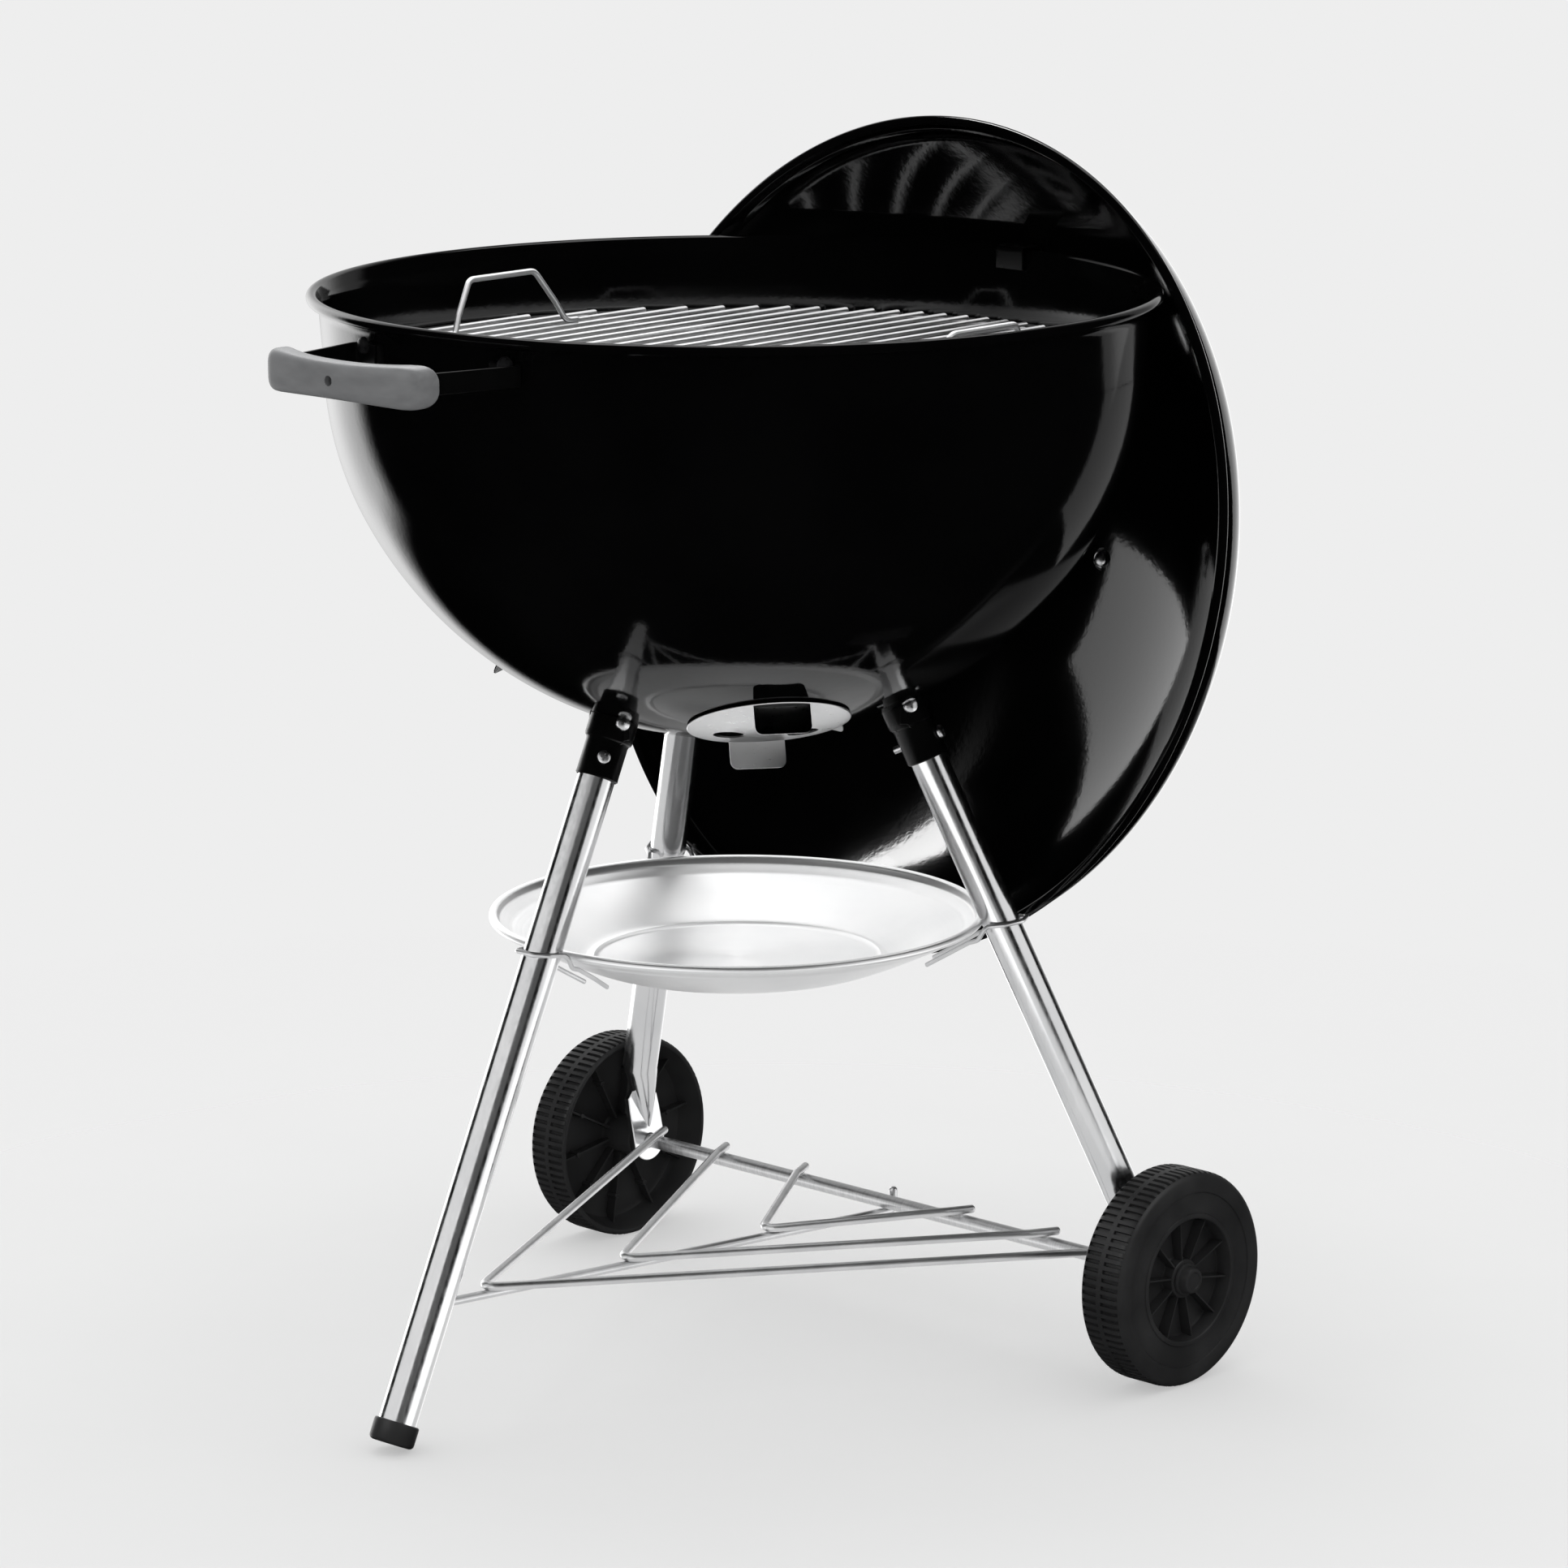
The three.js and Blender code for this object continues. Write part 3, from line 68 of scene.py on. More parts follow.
BOWL_LOW, BOWL_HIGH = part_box("bowl")
AXIS_X = (BOWL_LOW.x + BOWL_HIGH.x) / 2  # the bowl's axis in the row frame, in metres
MM = 0.001

SHEET = 1.6
RIM_RADIUS = 288.0
RIM_HEIGHT = 742.0
RIM_BEAD = 3.8
NECK_RADIUS = 281.0
BOWL_SPHERE = 283.2
BOWL_CENTRE_Z = 720.3
SHOULDER = 225.7
SHOULDER_ANGLE = math.radians(27.6)

LEG_AZIMUTHS = {"foot": 180.0, "wheel_left": 60.0, "wheel_right": -60.0}
LEG_RADIUS = 12.8
LEG_AXIS_RADIUS = 99.0
LEG_AXIS_Z = 500.0
LEG_SPLAY = 0.463
LEG_TOP_Z = 446.0
SOCKET_RADIUS = 14.4
SOCKET_LOW_Z = 425.0
SOCKET_LENGTH = 31.0
SOCKET_WING_Z = 452.0
BOLT_Z = 437.0
BOLT_AZIMUTHS = {"foot": 225.0, "wheel_left": 60.0, "wheel_right": -60.0}
BUTTON_Z = 460.0
BUTTON_TURNS = {"foot": -20.0, "wheel_left": 40.0, "wheel_right": 60.0}  # round the leg from the bolt

WHEEL_RADIUS = 74.7
WHEEL_WIDTH = 35.0
WHEEL_OUTER_Y = 286.3
AXLE_X = 147.0
AXLE_RADIUS = 5.0
AXLE_END_Y = 283.6
LEG_PLATE_Y = 238.0
LEG_PLATE_THICKNESS = 5.0
LEG_PLATE_WIDTH = 30.0
LEG_PLATE_JOIN_Z = 108.0
LEG_TAPER_Z = 136.0

RACK_WIRE = 3.0
CLIP_WIRE = 1.6
SPINE_LEG_Z = 92.0
GRATE_Z = 687.0
GRATE_RING = 266.5
GRATE_PITCH = 18.4
GRATE_TURN = math.radians(3.0)
CHARCOAL_Z = 548.0
CHARCOAL_RING = 210.0
CHARCOAL_PITCH = 20.0
GRATE_WIRE = 3.0
BAR_WIRE = 2.5
BAIL_WIRE = 2.1
LEDGE_AZIMUTHS = (40.0, 160.0, -80.0)
LEDGE_DROP = 26.0
LEDGE_WIDTH = 22.0

DAMPER_RADIUS = 54.0
DAMPER_THICKNESS = 1.2
DAMPER_GAP = 1.2
TAB_WIDTH = 38.0
TAB_HEIGHT = 19.5
TAB_CORNER = 5.0
DAMPER_HOLE = 10.5
DAMPER_HOLE_CIRCLE = 29.0
DAMPER_AZIMUTHS = (-125.0, -5.0, 115.0)
DAMPER_POLAR = math.radians(25.0)

DISH_RADIUS = 170.4
DISH_TOP_Z = 313.0
DISH_FLOOR_Z = 277.0

LID_RADIUS = 293.5
LID_WALL_RADIUS = 287.5
LID_DEPTH = 172.0
LID_WALL = 8.0
LID_CORNER = 40.0
LID_TILT = math.radians(-11.04)
LID_CENTRE = Vector((160.7, 0.0, 552.5))
LID_DAMPER_OFFSET = 125.0
LID_BOLT_Y = 46.0
LID_HANDLE_HEIGHT = 62.0
HOOK_LOW_Z = 694.0
HOOK_HIGH_Z = 736.0
HOOK_GAP = 3.2  # between the hook and the lid's skin
HOOK_WIDTH = 25.0
HOOK_RIVETS_Z = (724.0, 706.0)
SHIELD_LENGTH = 144.0
SHIELD_WIDTH = 62.0

HANDLE_LENGTH = 142.0
HANDLE_DEPTH = 15.0
HANDLE_BOW = 9.0
GRIP_HEIGHT = 24.4  # at its middle; the ends are taller and deeper by the next two
GRIP_END_RISE = 3.5
GRIP_END_DEPTH = 7.0
GRIP_CORNER = 4.2
GRIP_ROUNDING = 0.5  # 1 gives an oval section, less a squarer one
HANDLE_OUTER_X = -367.0
HANDLE_Z = 717.0
HANDLE_FOOT_Y = 66.0
HANDLE_SCREW_Z = 724.0
STRAP = 2.5
STRAP_WIDTH = 18.0
FASTENER_SHANK = 2.6
RIVET_SHANK = 2.4
RECESS_DEPTH = 0.9
BOW_RADIUS = ((HANDLE_LENGTH / 2) ** 2 + HANDLE_BOW**2) / (2 * HANDLE_BOW)
STRAP_X = HANDLE_DEPTH + STRAP / 2 + 0.6

SMOOTH_DEGREES = 30.0  # edges sharper than this stay hard

X_AXIS = Vector((1, 0, 0))
Y_AXIS = Vector((0, 1, 0))
Z_AXIS = Vector((0, 0, 1))

# ---- Drawing helpers ----


def polar(radius, degrees, z=0.0):
    angle = math.radians(degrees)
    return Vector((radius * math.cos(angle), radius * math.sin(angle), z))


def circle(steps):
    """Cosine and sine at even steps round a circle."""
    angles = [2 * math.pi * i / steps for i in range(steps)]
    return [(math.cos(angle), math.sin(angle)) for angle in angles]


def frame_at(origin, axis, side):
    """Matrix that takes Z to "axis" and leans X toward "side"."""
    z = Vector(axis).normalized()
    x = (Vector(side) - z * z.dot(side)).normalized()
    y = z.cross(x)
    matrix = Matrix((x, y, z)).transposed().to_4x4()
    matrix.translation = origin
    return matrix


def arc(centre_r, centre_z, radius, start, end, steps):
    points = []
    for i in range(steps + 1):
        angle = start + (end - start) * i / steps
        points.append((centre_r + radius * math.cos(angle), centre_z + radius * math.sin(angle)))
    return points


def rounded(corners, bend, steps=6):
    """A path through the corners with each corner turned on a smooth bend."""
    corners = [Vector(c) for c in corners]
    path = [corners[0]]
    for before, corner, after in zip(corners, corners[1:], corners[2:]):
        into = corner - before
        out = after - corner
        turn = into.angle(out)
        if turn < 1e-3:
            continue
        reach = min(bend * math.tan(turn / 2), into.length * 0.49, out.length * 0.49)
        start = corner - into.normalized() * reach
        end = corner + out.normalized() * reach
        for i in range(steps + 1):
            t = i / steps
            path.append(start.lerp(corner, t).lerp(corner.lerp(end, t), t))
    path.append(corners[-1])
    return path


class Shape:
    """Points in millimetres and the faces between them."""

    def __init__(self, matrix=None):
        self.points = []
        self.faces = []
        self.matrix = matrix or Matrix.Identity(4)

    def add(self, ring):
        first = len(self.points)
        self.points.extend(self.matrix @ Vector(p) for p in ring)
        return list(range(first, len(self.points)))

    def join(self, a, b):
        """Faces between two rings; a ring of one point is a tip."""
        count = max(len(a), len(b))
        for i in range(count):
            k = (i + 1) % count
            if len(a) == 1:
                self.faces.append((a[0], b[k], b[i]))
            elif len(b) == 1:
                self.faces.append((a[i], a[k], b[0]))
            else:
                self.faces.append((a[i], a[k], b[k], b[i]))

    def loft(self, rings, caps=True, wrap=False):
        indices = [self.add(ring) for ring in rings]
        for a, b in zip(indices, indices[1:]):
            self.join(a, b)
        if wrap:
            self.join(indices[-1], indices[0])
        elif caps:
            for ring in (indices[0], indices[-1]):
                if len(ring) > 2:
                    self.faces.append(tuple(ring))
        return self

    def lathe(self, profile, segments):
        """Turns (radius, height) points about Z; the section is closed unless it ends on the axis."""
        rings = []
        for radius, z in profile:
            if radius < 1e-6:
                rings.append([(0, 0, z)])
            else:
                rings.append([(radius * x, radius * y, z) for x, y in circle(segments)])
        poles = len(rings[0]) == 1 or len(rings[-1]) == 1
        return self.loft(rings, caps=False, wrap=not poles)

    def sweep(self, path, radius, sides=14, closed=False):
        """A round wire along a path; an open one has rounded ends."""
        path = [Vector(p) for p in path]
        count = len(path)
        tangents = []
        for i in range(count):
            if closed:
                tangents.append((path[(i + 1) % count] - path[i - 1]).normalized())
            else:
                tangents.append((path[min(i + 1, count - 1)] - path[max(i - 1, 0)]).normalized())
        side = tangents[0].orthogonal().normalized()
        sides_at = [side]
        for a, b in zip(tangents, tangents[1:]):
            side = a.rotation_difference(b) @ side
            sides_at.append(side)

        def ring(centre, tangent, across, size):
            other = tangent.cross(across).normalized()
            return [centre + (across * x + other * y) * size for x, y in circle(sides)]

        rings = [ring(path[i], tangents[i], sides_at[i], radius) for i in range(count)]
        if closed:
            return self.loft(rings, wrap=True)
        start, end = [], []
        for step in (0.35, 0.7, 0.92):
            reach = radius * step * 0.8
            size = radius * math.sqrt(1 - step**2)
            start.insert(0, ring(path[0] - tangents[0] * reach, tangents[0], sides_at[0], size))
            end.append(ring(path[-1] + tangents[-1] * reach, tangents[-1], sides_at[-1], size))
        return self.loft(start + rings + end)

    def prism(self, outline, low, high):
        """A flat outline pushed from z = low to z = high."""
        return self.loft([[(x, y, z) for x, y in outline] for z in (low, high)])

    def strap(self, route, thickness, low, high):
        """A flat strap bent along (x, y) points, standing from z = low to z = high."""
        near, far = [], []
        last = len(route) - 1
        for i, point in enumerate(route):
            into = Vector(point) - Vector(route[max(i - 1, 0)])
            out = Vector(route[min(i + 1, last)]) - Vector(point)
            into = into if i else out
            out = out if i < last else into
            mitre = (into.normalized() + out.normalized()).normalized()
            reach = thickness / 2 / max(mitre.dot(out.normalized()), 0.4)
            near.append((point[0] - mitre.y * reach, point[1] + mitre.x * reach))
            far.insert(0, (point[0] + mitre.y * reach, point[1] - mitre.x * reach))
        edges = [self.add([(x, y, z) for x, y in near + far]) for z in (low, high)]
        self.join(*edges)
        for ring in edges:
            for i in range(last):
                self.faces.append((ring[i], ring[i + 1], ring[-2 - i], ring[-1 - i]))
        return self


def bend_flat(route, bend):
    """Rounds the corners of a flat (x, y) route."""
    return [(p.x, p.y) for p in rounded([(x, y, 0) for x, y in route], bend, 4)]


def finish_shading(work, smooth_degrees):
    for face in work.faces:
        face.smooth = True
    limit = math.radians(smooth_degrees)
    for edge in work.edges:
        edge.smooth = edge.calc_face_angle(0.0) < limit


def make_mesh(name, shape, smooth_degrees=SMOOTH_DEGREES):
    data = bpy.data.meshes.new(name)
    points = [(p.x * MM + AXIS_X, p.y * MM, p.z * MM) for p in shape.points]
    data.from_pydata(points, [], shape.faces)
    work = bmesh.new()
    work.from_mesh(data)
    bmesh.ops.remove_doubles(work, verts=work.verts, dist=1e-6)
    bmesh.ops.recalc_face_normals(work, faces=work.faces)
    finish_shading(work, smooth_degrees)
    work.to_mesh(data)
    work.free()
    return data


def cut_holes(obj, cutters, smooth_degrees):
    """Takes closed cutter shapes out of a piece."""
    for i, cutter in enumerate(cutters):
        tool = bpy.data.objects.new(f"tool_{i}", make_mesh(f"tool_{i}", cutter))
        bpy.context.scene.collection.objects.link(tool)
        boolean = obj.modifiers.new("cut", "BOOLEAN")
        boolean.operation = "DIFFERENCE"
        boolean.solver = "EXACT"
        boolean.object = tool
        bpy.context.view_layer.update()
        evaluated = obj.evaluated_get(bpy.context.evaluated_depsgraph_get())
        data = bpy.data.meshes.new_from_object(evaluated)
        obj.modifiers.remove(boolean)
        bpy.data.objects.remove(tool)
        obj.data = data
    work = bmesh.new()
    work.from_mesh(obj.data)
    bmesh.ops.remove_doubles(work, verts=work.verts, dist=2e-6)
    finish_shading(work, smooth_degrees)
    work.to_mesh(obj.data)
    work.free()


def piece(name, shape, material, body, replaces, bevel=0.0, cutters=(), smooth_degrees=SMOOTH_DEGREES):
    """Makes a piece, gives it its finish, hides the CAD nodes it stands for and ties it to a body."""
    if bevel:
        smooth_degrees = 180.0
    obj = bpy.data.objects.new(name, make_mesh(name, shape, smooth_degrees))
    bpy.context.scene.collection.objects.link(obj)
    if cutters:
        cut_holes(obj, cutters, smooth_degrees)
    if bevel:
        edge = obj.modifiers.new("edge", "BEVEL")
        edge.width = bevel * MM
        edge.segments = 3
        edge.limit_method = "ANGLE"
        edge.angle_limit = math.radians(35)
        edge.harden_normals = True
    obj.data.materials.clear()
    obj.data.materials.append(MATERIALS[material])
    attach(obj, body)
    if replaces:
        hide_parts(*replaces)


# ---- Materials ----

NOISE_LOW, NOISE_HIGH = 0.3, 0.7  # the range of a noise that its colours and roughness follow


def add_node(tree, kind, inputs=None, **settings):
    """Adds a node. Inputs that are sockets are linked and others are set."""
    made = tree.nodes.new(kind)
    for key, value in settings.items():
        setattr(made, key, value)
    for key, value in (inputs or {}).items():
        if isinstance(value, bpy.types.NodeSocket):
            tree.links.new(value, made.inputs[key])
        else:
            made.inputs[key].default_value = value
    return made


class Nodes:
    """Short calls for building one node material."""

    def __init__(self, name):
        self.material = bpy.data.materials.new(name)
        self.material.use_nodes = True
        self.tree = self.material.node_tree
        self.shader = self.tree.nodes["Principled BSDF"]
        self.node = partial(add_node, self.tree)
        self.place = self.node("ShaderNodeTexCoord").outputs["Object"]

    def noise(self, scale, detail=2.0, stretch=None, roughness=0.5):
        vector = self.place
        if stretch:
            vector = self.node("ShaderNodeMapping", {"Vector": vector, "Scale": stretch}).outputs["Vector"]
        inputs = {"Vector": vector, "Scale": scale, "Detail": detail, "Roughness": roughness}
        return self.node("ShaderNodeTexNoise", inputs).outputs["Fac"]

    def between(self, factor, low, high, start=NOISE_LOW, end=NOISE_HIGH):
        """Maps a factor from start..end to low..high."""
        inputs = {"Value": factor, "From Min": start, "From Max": end, "To Min": low, "To Max": high}
        return self.node("ShaderNodeMapRange", inputs).outputs["Result"]

    def colours(self, factor, low, high):
        ramp = self.node("ShaderNodeValToRGB", {"Fac": factor})
        for stop, position, colour in zip(ramp.color_ramp.elements, (NOISE_LOW, NOISE_HIGH), (low, high)):
            stop.position = position
            stop.color = (*colour, 1.0)
        return ramp.outputs["Color"]

    def bump(self, height, strength, distance):
        inputs = {"Height": height, "Strength": strength, "Distance": distance}
        return self.node("ShaderNodeBump", inputs).outputs["Normal"]

    def set(self, **values):
        for key, value in values.items():
            socket = self.shader.inputs[key.replace("_", " ")]
            if isinstance(value, bpy.types.NodeSocket):
                self.tree.links.new(value, socket)
            else:
                socket.default_value = value
        return self.material


def mottled(name, colour, gloss, relief, **values):
    """A finish whose colour, roughness and fine relief each follow a noise.

    Each starts with the noise. Then come the two ends of the colour, the two of the roughness, and the
    relief's strength and height.
    """
    n = Nodes(name)
    noises = {pattern: n.noise(*pattern) for pattern in dict.fromkeys((colour[0], gloss[0], relief[0]))}
    return n.set(
        Base_Color=n.colours(noises[colour[0]], *colour[1:]),
        Roughness=n.between(noises[gloss[0]], *gloss[1:]),
        Normal=n.bump(noises[relief[0]], *relief[1:]),
        **values,
    )


def grey(value):
    return (value, value, value)


def make_enamel():
    n = Nodes("enamel_black_gloss")
    haze = n.noise(9.0, 4.0)
    ripple = n.bump(n.noise(210.0, 2.0), 0.06, 0.0006)
    speck = {"Height": n.noise(1700.0, 1.0), "Strength": 0.03, "Distance": 0.0001, "Normal": ripple}
    return n.set(
        Base_Color=n.colours(haze, (0.0009, 0.0009, 0.001), (0.0018, 0.0018, 0.0019)),
        Roughness=n.between(haze, 0.055, 0.1),
        Normal=n.node("ShaderNodeBump", speck).outputs["Normal"],
        IOR=1.5,
    )


def make_dish_aluminium():
    """Spun sheet: its fine rings follow the distance from the bowl's axis."""
    n = Nodes("aluminium_spun_dish")
    split = n.node("ShaderNodeSeparateXYZ", {"Vector": n.place})
    centred = n.node("ShaderNodeMath", {0: split.outputs["X"], 1: AXIS_X}, operation="SUBTRACT").outputs[0]
    flat = n.node("ShaderNodeCombineXYZ", {"X": centred, "Y": split.outputs["Y"]}).outputs["Vector"]
    radius = n.node("ShaderNodeVectorMath", {0: flat}, operation="LENGTH").outputs["Value"]
    inputs = {"W": radius, "Scale": 900.0, "Detail": 3.0}
    rings = n.node("ShaderNodeTexNoise", inputs, noise_dimensions="1D").outputs["Fac"]
    return n.set(
        Base_Color=n.colours(n.noise(14.0, 3.0), (0.86, 0.865, 0.87), (0.93, 0.93, 0.93)),
        Metallic=1.0,
        Roughness=n.between(rings, 0.34, 0.44),
        Normal=n.bump(rings, 0.08, 0.0001),
        Anisotropic=0.6,
        Tangent=n.node("ShaderNodeTangent", direction_type="RADIAL", axis="Z").outputs["Tangent"],
    )


def make_plated_tube():
    cloud, streak = (18.0, 3.0), (60.0, 3.0, (6.0, 6.0, 0.35))
    colour = (cloud, (0.74, 0.745, 0.755), (0.82, 0.82, 0.825))
    return mottled("plated_tube_bright", colour, (streak, 0.13, 0.24), (streak, 0.05, 0.0002), Metallic=1.0)


def make_aluminium():
    cloud, grain = (12.0, 3.0), (140.0, 4.0, (1.0, 1.0, 5.0), 0.65)
    colour = (cloud, (0.78, 0.785, 0.79), (0.87, 0.87, 0.87))
    return mottled("aluminium_spun", colour, (grain, 0.26, 0.38), (grain, 0.07, 0.0002), Metallic=1.0)


def make_wire():
    cloud, fine = (35.0, 3.0), (700.0, 2.0)
    colour = (cloud, (0.66, 0.665, 0.67), (0.8, 0.8, 0.805))
    return mottled("nickel_wire", colour, (fine, 0.32, 0.42), (fine, 0.02, 0.0001), Metallic=1.0)


def make_fastener():
    cloud = (220.0, 3.0)
    colour = (cloud, (0.5, 0.505, 0.51), (0.72, 0.72, 0.73))
    return mottled("zinc_fastener", colour, (cloud, 0.18, 0.34), (cloud, 0.08, 0.0001), Metallic=1.0)


def make_dark_fastener():
    cloud = (220.0, 3.0)
    colour = (cloud, (0.012, 0.012, 0.013), (0.03, 0.03, 0.031))
    return mottled("blackened_fastener", colour, (cloud, 0.25, 0.4), (cloud, 0.08, 0.0001), Metallic=0.6)


def make_axle_steel():
    turned = (90.0, 3.0, (1.0, 9.0, 1.0))
    colour = (turned, (0.58, 0.585, 0.59), (0.74, 0.74, 0.745))
    return mottled("zinc_axle_rod", colour, (turned, 0.3, 0.42), (turned, 0.06, 0.0001), Metallic=1.0)


def make_black_steel():
    cloud, pebble = (30.0, 3.0), (900.0, 2.0)
    colour = (cloud, (0.0012, 0.0012, 0.0013), (0.0026, 0.0026, 0.0028))
    return mottled("black_coated_steel", colour, (cloud, 0.24, 0.36), (pebble, 0.1, 0.0001), IOR=1.5)


def make_wheel_plastic():
    cloud, grain = (25.0, 4.0), (1500.0, 3.0)
    colour = (cloud, (0.014, 0.014, 0.0145), (0.024, 0.024, 0.0245))
    return mottled("black_moulded_plastic", colour, (cloud, 0.36, 0.46), (grain, 0.18, 0.0001), IOR=1.46)


def make_grip_plastic():
    fibre, grain = (160.0, 4.0, (1.0, 0.3, 1.0)), (1300.0, 3.0)
    colour = (fibre, (0.118, 0.12, 0.123), (0.142, 0.144, 0.147))
    return mottled("grey_moulded_plastic", colour, (fibre, 0.4, 0.5), (grain, 0.12, 0.0001), IOR=1.46)


MATERIALS = {
    "enamel": make_enamel(),
    "plated_tube": make_plated_tube(),
    "aluminium": make_aluminium(),
    "dish": make_dish_aluminium(),
    "wire": make_wire(),
    "fastener": make_fastener(),
    "dark_fastener": make_dark_fastener(),
    "axle_steel": make_axle_steel(),
    "black_steel": make_black_steel(),
    "wheel_plastic": make_wheel_plastic(),
    "grip_plastic": make_grip_plastic(),
}

# ---- Shared outlines and frames ----


def bowl_wall(inset, sphere_steps, shoulder_steps):
    """Bowl wall from the pole up to the neck, "inset" inside the outer face."""
    offset = BOWL_SPHERE - SHOULDER
    shoulder_r = offset * math.cos(SHOULDER_ANGLE)
    shoulder_z = BOWL_CENTRE_Z - offset * math.sin(SHOULDER_ANGLE)
    sphere = arc(0, BOWL_CENTRE_Z, BOWL_SPHERE - inset, -math.pi / 2, -SHOULDER_ANGLE, sphere_steps)
    shoulder = arc(shoulder_r, shoulder_z, SHOULDER - inset, -SHOULDER_ANGLE, 0, shoulder_steps)
    sphere[0] = (0, sphere[0][1])
    return sphere + shoulder[1:]


def bowl_inner_radius(z):
    wall = bowl_wall(SHEET, 48, 24)
    for (low_r, low_z), (high_r, high_z) in zip(wall, wall[1:]):
        if z <= high_z:
            return low_r + (high_r - low_r) * (z - low_z) / (high_z - low_z)
    return wall[-1][0]


LID_CORNER_R = LID_WALL_RADIUS - LID_CORNER
LID_RISE = LID_DEPTH - LID_WALL
LID_SPHERE = (LID_RISE**2 + LID_CORNER_R**2 - LID_CORNER**2) / (2 * (LID_RISE - LID_CORNER))
LID_SPHERE_Z = LID_DEPTH - LID_SPHERE
LID_AXIS = Vector((math.cos(LID_TILT), 0, math.sin(LID_TILT)))
LID_UP = Vector((-math.sin(LID_TILT), 0, math.cos(LID_TILT)))
LID_FRAME = frame_at(LID_CENTRE, LID_AXIS, LID_UP)


def lid_wall(inset, corner_steps, sphere_steps):
    turn = math.atan2(LID_WALL - LID_SPHERE_Z, LID_CORNER_R)
    corner = arc(LID_CORNER_R, LID_WALL, LID_CORNER - inset, 0, turn, corner_steps)
    sphere = arc(0, LID_SPHERE_Z, LID_SPHERE - inset, turn, math.pi / 2, sphere_steps)
    sphere[-1] = (0, sphere[-1][1])
    return corner + sphere[1:]


def leg_axis(degrees, z):
    return polar(LEG_AXIS_RADIUS + LEG_SPLAY * (LEG_AXIS_Z - z), degrees, z)


def leg_direction(degrees):
    return (leg_axis(degrees, 0) - leg_axis(degrees, 100)).normalized()


def bowl_damper_frame(degrees):
    out = polar(math.sin(DAMPER_POLAR), degrees, -math.cos(DAMPER_POLAR))
    upslope = polar(math.cos(DAMPER_POLAR), degrees, math.sin(DAMPER_POLAR))
    return frame_at(Vector((0, 0, BOWL_CENTRE_Z)), out, upslope)


def lid_damper_frame():
    lean = math.asin(LID_DAMPER_OFFSET / LID_SPHERE)
    out = Vector((math.sin(lean), 0, math.cos(lean)))
    outward = Vector((math.cos(lean), 0, -math.sin(lean)))
    return LID_FRAME @ frame_at(Vector((0, 0, LID_SPHERE_Z)), out, outward)


def lid_inner_x(z):
    """Inner face of the dome in its upright middle plane, at a height."""
    centre = LID_CENTRE + LID_AXIS * LID_SPHERE_Z
    return centre.x + math.sqrt((LID_SPHERE - SHEET) ** 2 - (z - centre.z) ** 2)


def hook_rivet_frame(z):
    spot = Vector((lid_inner_x(z), 0, z))
    return frame_at(spot, spot - (LID_CENTRE + LID_AXIS * LID_SPHERE_Z), Y_AXIS)


def hole(matrix, low, high, radius):
    return Shape(matrix).lathe([(0, low), (radius, low), (radius, high), (0, high)], 40)


def vent_holes(matrix, sphere):
    cutters = []
    for i in range(3):
        spot = matrix @ Matrix.Translation(polar(DAMPER_HOLE_CIRCLE, 120 * i, sphere))
        cutters.append(hole(spot, -9, 9, DAMPER_HOLE))
    return cutters


# ---- Bowl and dampers ----


def make_bowl():
    bead_r = RIM_RADIUS - RIM_BEAD
    bead_z = RIM_HEIGHT - RIM_BEAD
    neck_z = RIM_HEIGHT - 2 * RIM_BEAD - 0.5
    fillet = [(NECK_RADIUS + out, neck_z - drop) for out, drop in ((-1.6, 6.0), (-0.5, 2.4), (0.6, 0.6))]
    bead = arc(bead_r, bead_z, RIM_BEAD, -math.pi * 0.62, math.pi * 0.84, 18)
    inner_fillet = [(r - SHEET, z) for r, z in reversed(fillet)]
    profile = bowl_wall(0, 72, 30) + fillet + bead + inner_fillet + bowl_wall(SHEET, 72, 30)[::-1]
    cutters = []
    for degrees in DAMPER_AZIMUTHS:
        cutters += vent_holes(bowl_damper_frame(degrees), BOWL_SPHERE)
    piece("bowl_shell", Shape().lathe(profile, 240), "enamel", "stand", ["bowl"], cutters=cutters)


def tab_outline():
    """A finger tab: square at its root, round at its two free corners."""
    half = TAB_WIDTH / 2
    outline = [(-half, 0)]
    for centre, start in ((-half + TAB_CORNER, math.pi), (half - TAB_CORNER, math.pi / 2)):
        outline += arc(centre, TAB_HEIGHT - TAB_CORNER, TAB_CORNER, start, start - math.pi / 2, 6)
    outline.append((half, 0))
    return outline


def make_damper(matrix, sphere, name, node, body, tab_sides):
    """A spun disc that follows the sheet behind it, a rolled edge and bent finger tabs."""
    low = sphere + DAMPER_GAP
    high = low + DAMPER_THICKNESS
    edge = math.asin(DAMPER_RADIUS / high)
    under = arc(0, 0, low, math.pi / 2, math.pi / 2 - edge, 20)
    over = arc(0, 0, high, math.pi / 2 - edge, math.pi / 2, 20)
    under[0] = (0, low)
    over[-1] = (0, high)
    lip_r, lip_z = over[0]
    lip = [(lip_r + 0.7, lip_z - 1.3), (lip_r + 0.8, lip_z - 0.7), (lip_r + 0.4, lip_z - 0.15)]
    shape = Shape(matrix).lathe(under + lip + over, 120)
    piece(name, shape, "aluminium", body, [node], cutters=vent_holes(matrix, sphere))
    rim_z = math.sqrt(low**2 - DAMPER_RADIUS**2)
    for side in tab_sides:
        root = side * (DAMPER_RADIUS - 5.0)
        stand = matrix @ frame_at(Vector((root - 0.6, 0, rim_z + 0.9)), X_AXIS, Y_AXIS)
        tab = Shape(stand).prism(tab_outline(), 0.0, DAMPER_THICKNESS)
        piece(f"{name}_tab_{'outer' if side > 0 else 'inner'}", tab, "aluminium", body, [], bevel=0.35)


